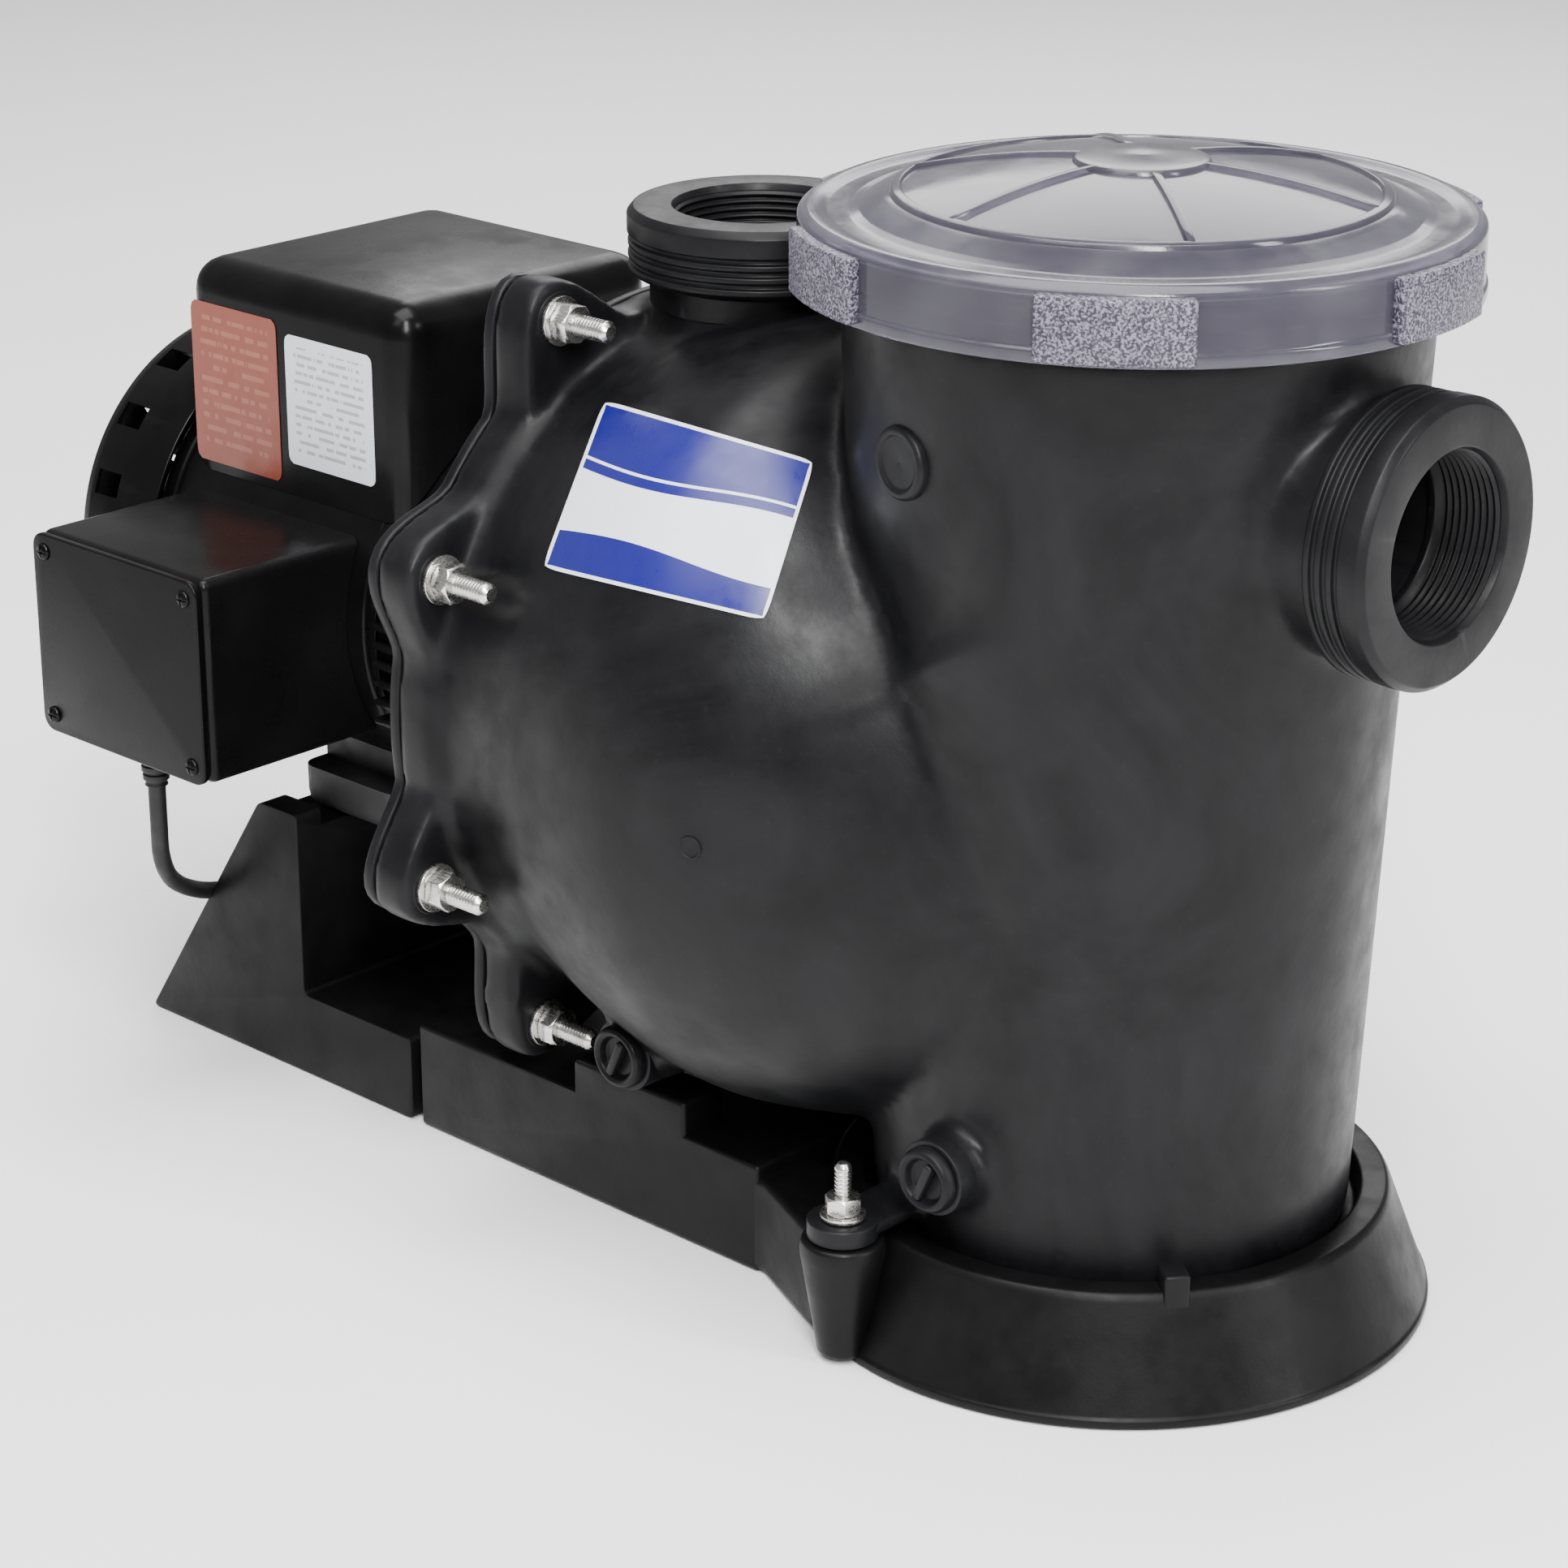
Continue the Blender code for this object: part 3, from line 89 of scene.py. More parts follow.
RING_FOOT_R = 114.5
RING_TOP_R = 98
RING_Z = 43
DECK_Z = 42
CORD_R = 3.5
DRAIN_TILT = radians(24)      # how far the grips on the drain plugs lean
SKIN_GRAIN = 2.4              # voxel that the moulding's shapes are grown together with
SKIN_SOFTENING = 14           # rounds of smoothing that make its fillets
SKIN_SIDES = 120
LABEL_FILM = 0.25
LABEL_GAP = 0.5


def at(x, y, z):
    """A point given in millimetres from the pot's axis at the floor, in the row frame."""
    return Vector((POT_X + x * MM, y * MM, z * MM))


# ---- camera --------------------------------------------------------------------------------
CAMERA_AZIMUTH = radians(43.4)
CAMERA_ELEVATION = radians(20.9)
CAMERA_DISTANCE = 1.536
CAMERA_TARGET = at(-160.7, 0, 146.2)
CAMERA_LENS = 94.42           # millimetres, over a sensor 36 mm wide


def outward(azimuth, elevation):
    """The way out from the pump at an azimuth from -Y towards +X and an elevation."""
    return Vector((sin(azimuth) * cos(elevation), -cos(azimuth) * cos(elevation), sin(elevation)))


CAMERA_BACK = outward(CAMERA_AZIMUTH, CAMERA_ELEVATION)
CAMERA_PLACE = CAMERA_TARGET + CAMERA_BACK * CAMERA_DISTANCE


def make_camera():
    """The camera where the photograph's was found to be."""
    data = bpy.data.cameras.new("camera")
    data.sensor_width = 36
    data.lens = CAMERA_LENS
    camera = bpy.data.objects.new("camera", data)
    bpy.context.scene.collection.objects.link(camera)
    camera.location = CAMERA_PLACE
    camera.rotation_euler = (-CAMERA_BACK).to_track_quat("-Z", "Y").to_euler()
    bpy.context.scene.camera = camera


# ---- materials -----------------------------------------------------------------------------
MATERIALS = {}


class Nodes:
    """A short way to build a material's node tree round its Principled shader."""

    def __init__(self, name):
        self.material = bpy.data.materials.new(name)
        self.material.use_nodes = True
        self.tree = self.material.node_tree
        self.shader = self.tree.nodes["Principled BSDF"]
        self.place = self.add("ShaderNodeTexCoord").outputs["Object"]

    def add(self, kind, **values):
        """A node, with its properties or its input sockets set by name."""
        node = self.tree.nodes.new(kind)
        for key, value in values.items():
            if hasattr(node, key):
                setattr(node, key, value)
            else:
                node.inputs[key.replace("_", " ")].default_value = value
        return node

    def link(self, output, target):
        """Join an output to an input socket."""
        self.tree.links.new(output, target)

    def noise(self, scale, detail=3, roughness=0.5, stretch=None, distortion=0.0):
        """Noise of a size in object space, stretched along an axis if asked."""
        node = self.add("ShaderNodeTexNoise", Scale=scale, Detail=detail, Roughness=roughness,
                        Distortion=distortion)
        source = self.place
        if stretch:
            mapping = self.add("ShaderNodeMapping", Scale=stretch)
            self.link(source, mapping.inputs["Vector"])
            source = mapping.outputs["Vector"]
        self.link(source, node.inputs["Vector"])
        return node.outputs["Fac"]

    def ramp(self, source, low, high, first=0.35, last=0.65):
        """A value or colour that goes from low to high as the source does."""
        node = self.add("ShaderNodeValToRGB")
        ends = node.color_ramp.elements
        ends[0].position = first
        ends[1].position = last
        for end, value in zip(ends, (low, high)):
            end.color = (*value, 1) if isinstance(value, tuple) else (value, value, value, 1)
        self.link(source, node.inputs["Fac"])
        return node.outputs["Color"]

    def mix(self, share, first, second):
        """A colour between two, by a share that is a number or an output."""
        node = self.add("ShaderNodeMix", data_type="RGBA")
        for value, target in ((share, node.inputs[0]), (first, node.inputs[6]),
                              (second, node.inputs[7])):
            if hasattr(value, "links"):
                self.link(value, target)
            elif isinstance(value, tuple):
                target.default_value = (*value, 1)
            else:
                target.default_value = value
        return node.outputs[2]

    def math(self, operation, first, second=0.0):
        """Arithmetic on two values."""
        node = self.add("ShaderNodeMath", operation=operation)
        for value, target in zip((first, second), node.inputs):
            if hasattr(value, "links"):
                self.link(value, target)
            else:
                target.default_value = value
        return node.outputs[0]

    def worn_edge(self, low=0.53, high=0.60):
        """Where the surface is a convex edge."""
        return self.ramp(self.add("ShaderNodeNewGeometry").outputs["Pointiness"], 0.0, 1.0,
                         low, high)

    def bump(self, *layers):
        """Bumps one on another, each a height output with its strength and distance."""
        previous = None
        for height, strength, distance in layers:
            node = self.add("ShaderNodeBump", Strength=strength, Distance=distance)
            self.link(height, node.inputs["Height"])
            if previous:
                self.link(previous, node.inputs["Normal"])
            previous = node.outputs["Normal"]
        self.link(previous, self.shader.inputs["Normal"])

    def set(self, **values):
        """The shader's inputs: a number or colour is set on its socket, an output is linked."""
        for key, value in values.items():
            target = self.shader.inputs[key.replace("_", " ")]
            if hasattr(value, "links"):
                self.link(value, target)
            elif isinstance(value, tuple):
                target.default_value = (*value, 1)
            else:
                target.default_value = value


def moulded(name, dark, light, edge, rough, grain=1.0, swirl=1.0):
    """Moulded plastic: flow marks, a fine grain and paler rubbed edges."""
    nodes = Nodes(name)
    flow = nodes.noise(9, 5, 0.62, distortion=2.4)
    cloud = nodes.noise(28, 4, 0.6, distortion=0.8)
    colour = nodes.mix(nodes.ramp(flow, 0.0, 1.0, 0.38, 0.66), dark, light)
    colour = nodes.mix(nodes.ramp(cloud, 0.0, 0.45, 0.45, 0.7), colour, light)
    dust = nodes.ramp(nodes.noise(420, 2, 0.5), 0.0, 0.14, 0.62, 0.80)
    colour = nodes.mix(dust, colour, edge)
    colour = nodes.mix(nodes.math("MULTIPLY", nodes.worn_edge(), 0.5), colour, edge)
    nodes.set(Base_Color=colour, Specular_IOR_Level=0.15)
    nodes.set(Roughness=nodes.ramp(nodes.noise(55, 4, 0.6), rough - 0.06, rough + 0.10))
    nodes.bump((nodes.noise(1500, 2), 0.22 * grain, 0.00012),
               (nodes.noise(300, 3), 0.25 * grain, 0.0002),
               (flow, 0.12 * swirl, 0.0012))
    return nodes.material


def painted(name, colour, edge, rough):
    """Painted steel: slight orange peel, dust and rubbed edges."""
    nodes = Nodes(name)
    dusty = nodes.ramp(nodes.noise(14, 5, 0.6), 0.0, 0.5, 0.45, 0.75)
    shade = nodes.mix(dusty, colour, edge)
    shade = nodes.mix(nodes.math("MULTIPLY", nodes.worn_edge(), 0.6), shade, edge)
    nodes.set(Base_Color=shade, Specular_IOR_Level=0.13)
    nodes.set(Roughness=nodes.ramp(nodes.noise(35, 4, 0.6), rough - 0.05, rough + 0.12))
    nodes.bump((nodes.noise(520, 2), 0.12, 0.0002), (nodes.noise(90, 2), 0.10, 0.0006))
    return nodes.material


def metal(name, colour, rough, streak=(1, 1, 1), tarnish=(0.25, 0.23, 0.2)):
    """Bare metal with fine machining streaks and a little tarnish."""
    nodes = Nodes(name)
    lines = nodes.noise(260, 3, 0.6, stretch=streak)
    patch = nodes.ramp(nodes.noise(60, 4, 0.6), 0.0, 0.4, 0.5, 0.75)
    nodes.set(Base_Color=nodes.mix(patch, colour, tarnish), Metallic=1.0)
    nodes.set(Roughness=nodes.ramp(lines, rough - 0.07, rough + 0.12))
    nodes.bump((lines, 0.15, 0.0001))
    return nodes.material


def rubbery(name, colour, light, rough):
    """Dull rubber or soft PVC."""
    nodes = Nodes(name)
    nodes.set(Base_Color=nodes.mix(nodes.ramp(nodes.noise(40, 4), 0.0, 1.0), colour, light))
    nodes.set(Roughness=nodes.ramp(nodes.noise(90, 3), rough - 0.08, rough + 0.1))
    nodes.bump((nodes.noise(900, 2), 0.2, 0.0001))
    return nodes.material


def clear_lid():
    """Smoky clear polycarbonate."""
    nodes = Nodes("clear_lid")
    haze = nodes.noise(30, 4, 0.6)
    smoke = nodes.mix(nodes.ramp(haze, 0.0, 1.0), (0.15, 0.14, 0.19), (0.22, 0.21, 0.26))
    nodes.set(Base_Color=smoke)
    nodes.set(Transmission_Weight=0.80, IOR=1.45, Specular_IOR_Level=0.35)
    nodes.set(Roughness=nodes.ramp(haze, 0.10, 0.22))
    nodes.bump((nodes.noise(160, 3), 0.12, 0.0003))
    return nodes.material


def frosted_lid():
    """The lid's grip faces: the same plastic with a coarse texture, and glints off it painted into
    the colour as bright specks.
    """
    nodes = Nodes("frosted_lid")
    speck = nodes.noise(1100, 2, 0.6)
    # bright specks mixed into the base colour are painted glints; the texture itself is the bump
    # below
    painted_glints = nodes.mix(nodes.ramp(speck, 0.0, 1.0, 0.45, 0.6), (0.030, 0.026, 0.045),
                        (0.26, 0.24, 0.31))
    nodes.set(Base_Color=painted_glints)
    nodes.set(Transmission_Weight=0.25, IOR=1.45)
    nodes.set(Roughness=nodes.ramp(nodes.noise(700, 2), 0.22, 0.5))
    nodes.bump((speck, 0.9, 0.0006))
    return nodes.material


def label_material(name, paint):
    """Printed film whose pattern is painted by a function of its own u and v."""
    nodes = Nodes(name)
    uv = nodes.add("ShaderNodeSeparateXYZ")
    nodes.link(nodes.add("ShaderNodeTexCoord").outputs["UV"], uv.inputs[0])
    nodes.set(Base_Color=paint(nodes, uv.outputs[0], uv.outputs[1]))
    nodes.set(Roughness=nodes.ramp(nodes.noise(120, 3), 0.25, 0.38))
    nodes.bump((nodes.noise(200, 2), 0.06, 0.0003))
    return nodes.material


def band(nodes, value, low, high):
    """1 where a value lies between two limits."""
    return nodes.math("MULTIPLY", nodes.math("GREATER_THAN", value, low),
                      nodes.math("LESS_THAN", value, high))


BLUE = (0.010, 0.010, 0.155)
WHITE = (0.80, 0.82, 0.88)


def paint_volute(nodes, u, v):
    """Blue bands at the top and bottom with wavy edges, white between and round the rim."""
    wave = nodes.math("MULTIPLY", nodes.math("SINE", nodes.math("MULTIPLY", u, 5.2)), 0.030)
    curved = nodes.math("ADD", v, wave)
    blue = nodes.math("GREATER_THAN", curved, 0.60)
    blue = nodes.math("SUBTRACT", blue, band(nodes, curved, 0.655, 0.672))
    foot = nodes.math("LESS_THAN", nodes.math("SUBTRACT", v, wave), 0.235)
    both = nodes.math("ADD", blue, foot)
    inside = nodes.math("MULTIPLY", band(nodes, u, 0.026, 0.974), band(nodes, v, 0.036, 0.964))
    return nodes.mix(nodes.math("MULTIPLY", both, inside), WHITE, BLUE)


def paint_lines(ink, paper, rows, strength):
    """Paper with rows of faint short strokes, as small generic marks."""
    def paint(nodes, u, v):
        row = nodes.math("FRACT", nodes.math("MULTIPLY", v, rows))
        stroke = nodes.math("GREATER_THAN", row, 0.6)
        broken = nodes.add("ShaderNodeTexNoise", Scale=14.0, Detail=2.0)
        stretched = nodes.add("ShaderNodeCombineXYZ")
        nodes.link(u, stretched.inputs[0])
        line = nodes.math("FLOOR", nodes.math("MULTIPLY", v, rows))
        nodes.link(nodes.math("MULTIPLY", line, 7.3), stretched.inputs[1])
        nodes.link(stretched.outputs[0], broken.inputs["Vector"])
        gaps = nodes.math("GREATER_THAN", broken.outputs["Fac"], 0.47)
        inside = nodes.math("MULTIPLY", band(nodes, u, 0.1, 0.9), band(nodes, v, 0.1, 0.92))
        marks = nodes.math("MULTIPLY", nodes.math("MULTIPLY", stroke, gaps), inside)
        return nodes.mix(nodes.math("MULTIPLY", marks, strength), paper, ink)
    return paint


def make_materials():
    """Every finish of the pump."""
    made = {
        "charcoal_plastic": moulded("charcoal_plastic", (0.0030, 0.0030, 0.0036),
                                    (0.0082, 0.0082, 0.0092), (0.026, 0.026, 0.028), 0.37),
        "base_plastic": moulded("base_plastic", (0.0018, 0.0018, 0.0021), (0.0036, 0.0036, 0.0040),
                                (0.014, 0.014, 0.015), 0.40, 1.2, 0.5),
        "white_plastic": moulded("white_plastic", (0.13, 0.13, 0.13), (0.20, 0.20, 0.19),
                                 (0.28, 0.28, 0.27), 0.4),
        "grey_plastic": moulded("grey_plastic", (0.09, 0.09, 0.10), (0.13, 0.13, 0.14),
                                (0.2, 0.2, 0.2), 0.45),
        "black_plastic": moulded("black_plastic", (0.007, 0.007, 0.007), (0.012, 0.012, 0.012),
                                 (0.04, 0.04, 0.04), 0.45),
        "black_paint": painted("black_paint", (0.0016, 0.0016, 0.0018), (0.0080, 0.0080, 0.0080),
                               0.25),
        "stainless": metal("stainless", (0.66, 0.65, 0.62), 0.24, (1, 6, 6)),
        "core_steel": metal("core_steel", (0.33, 0.33, 0.34), 0.42, (14, 1, 1)),
        "copper": metal("copper", (0.62, 0.27, 0.13), 0.36, (4, 4, 4), (0.35, 0.12, 0.05)),
        "brass": metal("brass", (0.74, 0.55, 0.24), 0.26, (1, 1, 8)),
        "rubber": rubbery("rubber", (0.0035, 0.0035, 0.0035), (0.0080, 0.0080, 0.0085), 0.62),
        "ceramic": rubbery("ceramic", (0.7, 0.68, 0.62), (0.78, 0.76, 0.7), 0.3),
        "clear_lid": clear_lid(),
        "frosted_lid": frosted_lid(),
        "volute_label": label_material("volute_label", paint_volute),
        "red_label": label_material(
            "red_label", paint_lines((0.36, 0.12, 0.08), (0.21, 0.040, 0.020), 13, 0.55)),
        "white_label": label_material(
            "white_label", paint_lines((0.25, 0.25, 0.30), (0.68, 0.69, 0.75), 15, 0.75)),
    }
    MATERIALS.update(made)


# ---- shape helpers -------------------------------------------------------------------------
ALONG_X = Matrix.Rotation(pi / 2, 4, "Y")
TOWARDS_SIDE = Matrix.Rotation(pi / 2, 4, "X")
UPRIGHT = Matrix.Identity(4)


def piece(name, mesh, finish, body="pump", nodes=()):
    """Make a mesh in the row frame a shown piece that rides on a body."""
    thing = bpy.data.objects.new(name, mesh)
    bpy.context.scene.collection.objects.link(thing)
    if not mesh.materials:
        mesh.materials.append(MATERIALS[finish])
    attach(thing, body)
    if nodes:
        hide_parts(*nodes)
    return thing


def helper(name, mesh):
    """A mesh object used only while shapes are being made."""
    thing = bpy.data.objects.new(name, mesh)
    bpy.context.scene.collection.objects.link(thing)
    return thing


def baked(thing):
    """The object's mesh with its modifiers applied; the object is removed."""
    graph = bpy.context.evaluated_depsgraph_get()
    graph.update()
    mesh = bpy.data.meshes.new_from_object(thing.evaluated_get(graph))
    mesh.name = thing.name
    bpy.data.objects.remove(thing, do_unlink=True)
    return mesh


def shade(mesh, angle=32):
    """Smooth shading with sharp edges kept."""
    mesh.shade_smooth()
    mesh.set_sharp_from_angle(angle=radians(angle))
    return mesh


def filleted(points, radius, closed=True, steps=3):
    """An outline with each corner rounded by a short curve."""
    points = [Vector(point) for point in points]
    made = []
    count = len(points)
    for index, corner in enumerate(points):
        if not closed and index in (0, count - 1):
            made.append(corner)
            continue
        before = points[index - 1]
        after = points[(index + 1) % count]
        back = before - corner
        ahead = after - corner
        reach = min(radius, back.length * 0.42, ahead.length * 0.42)
        bend = back.angle(-ahead, 0)
        if bend < radians(14) or reach < 0.02:
            made.append(corner)
            continue
        start = corner + back.normalized() * reach
        end = corner + ahead.normalized() * reach
        for step in range(steps + 1):
            t = step / steps
            made.append(start * (1 - t) ** 2 + corner * 2 * t * (1 - t) + end * t * t)
    return made


def turned(profile, place=(0, 0, 0), turn=UPRIGHT, steps=96, radius=1.0, spin=2 * pi):
    """Mesh of a closed (radius, height) outline spun about Z, then turned and put in place."""
    points = filleted(profile, radius)
    mesh = bpy.data.meshes.new("turned")
    shape = bmesh.new()
    rings = []
    for step in range(steps):
        angle = spin * step / steps
        rings.append([shape.verts.new((p.x * cos(angle), p.x * sin(angle), p.y)) for p in points])
    for index, one in enumerate(rings):
        other = rings[(index + 1) % steps]
        for a in range(len(points)):
            b = (a + 1) % len(points)
            if points[a].x < 1e-6 and points[b].x < 1e-6:
                continue
            shape.faces.new((one[a], one[b], other[b], other[a]))
    bmesh.ops.remove_doubles(shape, verts=shape.verts, dist=1e-3)
    bmesh.ops.recalc_face_normals(shape, faces=shape.faces)
    bmesh.ops.scale(shape, vec=(MM, MM, MM), verts=shape.verts)
    bmesh.ops.transform(shape, matrix=Matrix.Translation(at(*place)) @ turn, verts=shape.verts)
    shape.to_mesh(mesh)
    shape.free()
    return shade(mesh)


def slab(points, low, high, place=(0, 0, 0), turn=UPRIGHT, bevel=1.0, segments=3):
    """Mesh of a flat outline raised from one height to another, with bevelled edges."""
    mesh = bpy.data.meshes.new("slab")
    shape = bmesh.new()
    face = shape.faces.new([shape.verts.new((x * MM, y * MM, low * MM)) for x, y in points])
    grown = bmesh.ops.extrude_face_region(shape, geom=[face])
    verts = [v for v in grown["geom"] if isinstance(v, bmesh.types.BMVert)]
    bmesh.ops.translate(shape, vec=(0, 0, (high - low) * MM), verts=verts)
    bmesh.ops.recalc_face_normals(shape, faces=shape.faces)
    if bevel:
        edges = [e for e in shape.edges
                 if len(e.link_faces) == 2 and e.calc_face_angle(0) > radians(40)]
        bmesh.ops.bevel(shape, geom=edges, offset=bevel * MM, segments=segments, profile=0.5,
                        affect="EDGES", clamp_overlap=True)
    bmesh.ops.transform(shape, matrix=Matrix.Translation(at(*place)) @ turn, verts=shape.verts)
    shape.to_mesh(mesh)
    shape.free()
    return shade(mesh)


def brick(low, high, bevel=1.0, segments=3):
    """Mesh of a box between two corners in millimetres, with rounded edges."""
    mesh = bpy.data.meshes.new("brick")
    shape = bmesh.new()
    bmesh.ops.create_cube(shape, size=1)
    size = Vector(high) - Vector(low)
    bmesh.ops.scale(shape, vec=size * MM, verts=shape.verts)
    bmesh.ops.translate(shape, vec=at(*((Vector(low) + Vector(high)) / 2)), verts=shape.verts)
    if bevel:
        bmesh.ops.bevel(shape, geom=list(shape.edges), offset=bevel * MM, segments=segments,
                        profile=0.5, affect="EDGES", clamp_overlap=True)
    shape.to_mesh(mesh)
    shape.free()
    return shade(mesh)


def swung(mesh, place, turn):
    """The mesh turned about a place given in millimetres."""
    centre = at(*place)
    mesh.transform(Matrix.Translation(centre) @ turn @ Matrix.Translation(-centre))
    return mesh


def merged(name, meshes):
    """Several meshes as one."""
    shape = bmesh.new()
    made = bpy.data.meshes.new(name)
    for mesh in meshes:
        shape.from_mesh(mesh)
    shape.to_mesh(made)
    shape.free()
    return shade(made)


def boolean(mesh, others, operation="DIFFERENCE", solver="EXACT"):
    """One mesh with others taken out of it or joined to it, without its materials."""
    base = helper("boolean_base", mesh)
    cutters = []
    for count, other in enumerate(others):
        cutter = helper(f"cutter_{count}", other)
        cutters.append(cutter)
        change = base.modifiers.new(f"cut_{count}", "BOOLEAN")
        change.operation = operation
        change.solver = solver
        change.object = cutter
    result = baked(base)
    result.materials.clear()
    for cutter in cutters:
        bpy.data.objects.remove(cutter, do_unlink=True)
    return result


def bevelled(mesh, width, segments=2, angle=35):
    """A mesh with its sharp edges rounded."""
    thing = helper("bevelled", mesh)
    change = thing.modifiers.new("rounding", "BEVEL")
    change.width = width * MM
    change.segments = segments
    change.limit_method = "ANGLE"
    change.angle_limit = radians(angle)
    change.harden_normals = False
    return shade(baked(thing))


def wire(name, points, radius, finish, body="pump", closed=False, sides=3, nodes=()):
    """A round wire or cord through points in the row frame, as a curve piece."""
    curve = bpy.data.curves.new(name, "CURVE")
    curve.dimensions = "3D"
    curve.bevel_depth = radius
    curve.bevel_resolution = sides
    curve.use_fill_caps = True
    line = curve.splines.new("POLY")
    line.points.add(len(points) - 1)
    for point, place in zip(line.points, points):
        point.co = (*place, 1)
    line.use_smooth = True
    line.use_cyclic_u = closed
    curve.materials.append(MATERIALS[finish])
    thing = bpy.data.objects.new(name, curve)
    bpy.context.scene.collection.objects.link(thing)
    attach(thing, body)
    if nodes:
        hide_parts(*nodes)
    return thing


def smooth_route(points, spacing):
    """Points at an even spacing along a smooth curve through the given ones."""
    places = [Vector(point) for point in points]
    ends = [places[0] * 2 - places[1]] + places + [places[-1] * 2 - places[-2]]
    fine = []
    for a, b, c, d in zip(ends, ends[1:], ends[2:], ends[3:]):
        for step in range(24):
            t = step / 24
            fine.append(0.5 * ((2 * b) + (c - a) * t + (2 * a - 5 * b + 4 * c - d) * t * t
                               + (3 * b - a - 3 * c + d) * t ** 3))
    fine.append(places[-1])
    lengths = [0.0]
    for first, second in zip(fine, fine[1:]):
        lengths.append(lengths[-1] + (second - first).length)
    count = max(2, round(lengths[-1] / spacing))
    made = []
    index = 0
    for step in range(count + 1):
        target = lengths[-1] * step / count
        while index < len(lengths) - 2 and lengths[index + 1] < target:
            index += 1
        share = (target - lengths[index]) / max(lengths[index + 1] - lengths[index], 1e-9)
        made.append(fine[index].lerp(fine[index + 1], share))
    return made


# ---- the cord ------------------------------------------------------------------------------
GLAND = (-382, -122)
COIL_CENTRE = (-190, 196)
COIL_R = 38
COIL_Z = 1.7
CORD_Z = CORD_R + 0.4
CORD_ROUTE = (
    (GLAND[0], GLAND[1], 121.5),
    (GLAND[0], GLAND[1], 106),
    (-386, -118.5, 89),
    (-392, -109, 75),
    (-398, -92, 64),
    (-402, -70, 56),
    (-412, -34, 38),
    (-430, 10, 12),
    (-446, 50, CORD_Z),
    (-444, 96, CORD_Z),
    (-410, 142, CORD_Z),
    (-350, 156, CORD_Z),
    (-290, 148, CORD_Z),
)
TAIL_ROUTE = (
    (-166, 153.4, 12.5),
    (-140, 154, 11.2),
    (-118, 160.6, 10.9),
    (-108.1, 165.75, 11.4),
)
PLUG_PLACE = (-107, 166.5, 11.4)
PLUG_TURN = radians(35)
TURN_STEPS = 28


def coil_points():
    """Turns side by side and on each other: three along the floor, then two above them."""
    points = []
    pitch = 2 * CORD_R + 0.25
    low = COIL_Z + CORD_R
    plan = [(COIL_R + pitch, low), (COIL_R, low), (COIL_R - pitch, low),
            (COIL_R - pitch / 2, low + pitch * 0.93), (COIL_R + pitch / 2, low + pitch * 0.93)]
    start = -pi / 2 - 0.05
    for index, (radius, height) in enumerate(plan):
        following = plan[min(index + 1, len(plan) - 1)]
        for step in range(TURN_STEPS):
            share = max(0.0, (step / TURN_STEPS - 0.4) / 0.6)
            share = share * share * (3 - 2 * share)
            angle = start + 2 * pi * step / TURN_STEPS
            reach = radius + (following[0] - radius) * share
            rise = height + (following[1] - height) * share
            points.append((COIL_CENTRE[0] + reach * cos(angle), COIL_CENTRE[1] + reach * sin(angle),
                           rise))
    points.append((COIL_CENTRE[0] + plan[-1][0] * cos(start),
                   COIL_CENTRE[1] + plan[-1][0] * sin(start), plan[-1][1]))
    return points


def make_cord():
    """Strain relief, cord with its coil, tie and plug."""
    gland_x, gland_y = GLAND
    ribs = [(CORD_R, 149), (5.2, 149), (5.2, 144.8), (9, 144.6), (9, 139.2), (6.8, 138.6)]
    for count in range(4):
        top = 137.6 - count * 3.6
        wide = 6.6 - count * 0.45
        ribs += [(wide, top), (wide, top - 2.3), (wide - 1.1, top - 2.6), (wide - 1.1, top - 3.4)]
    ribs += [(4.7, 122), (CORD_R, 122)]
    piece("strain_relief", turned(ribs, (gland_x, gland_y, 0), steps=40, radius=0.4), "rubber",
          "pump", ["cord_strain_relief"])

    lead = [at(*point) for point in ((gland_x, gland_y, 146),) + CORD_ROUTE]
    coil = [at(*point) for point in coil_points()]
    tail = [at(*point) for point in TAIL_ROUTE]
    joined = lead + coil + tail
    path = smooth_route(joined, 0.0045)
    for point in path:
        point.z = max(point.z, CORD_Z * MM)
    cord = wire("mains_cord", path, CORD_R * MM, "rubber",
                nodes=["power_cord", "power_cord_tail", "cord_coil"], sides=4)

    x, y = COIL_CENTRE
    strap = slab(filleted([(x + 28, -0.4), (x + 49.5, -0.4), (x + 49.5, 17), (x + 28, 17)], 4),
                 -3.5, 3.5, (0, y, 1), TOWARDS_SIDE, 0.4, 2)
    hole = slab(filleted([(x + 29.1, 0.7), (x + 48.4, 0.7), (x + 48.4, 15.9), (x + 29.1, 15.9)], 3),
                -10, 10, (0, y, 1), TOWARDS_SIDE, 0)
    tie = piece("coil_tie", boolean(strap, [hole]), "black_plastic", "pump",
                ["cord_tie"])

    plug_frame = (Matrix.Translation(at(*PLUG_PLACE)) @ Matrix.Rotation(PLUG_TURN, 4, "Z")
                  @ Matrix.Rotation(pi / 2, 4, "Y") @ Matrix.Diagonal((0.75, 1, 1, 1)))
    rings = [(0, 44), (12.6, 44), (14.5, 42.5), (14.5, 27), (12.2, 22.5), (9.6, 19)]
    for count in range(4):
        top = 17.5 - count * 4.2
        rings += [(8.6 - count * 0.9, top), (8.6 - count * 0.9, top - 2.4),
                  (7.4 - count * 0.9, top - 2.8), (7.4 - count * 0.9, top - 3.8)]
    rings += [(4.2, 0), (0, 0)]
    body = turned(rings, (0, 0, 0), steps=48, radius=0.8)
    body.transform(plug_frame @ Matrix.Translation(-at(0, 0, 0)))
    plug = piece("mains_plug", shade(body), "rubber", "pump", ["power_plug"])


make_materials()
make_camera()
make_cord()


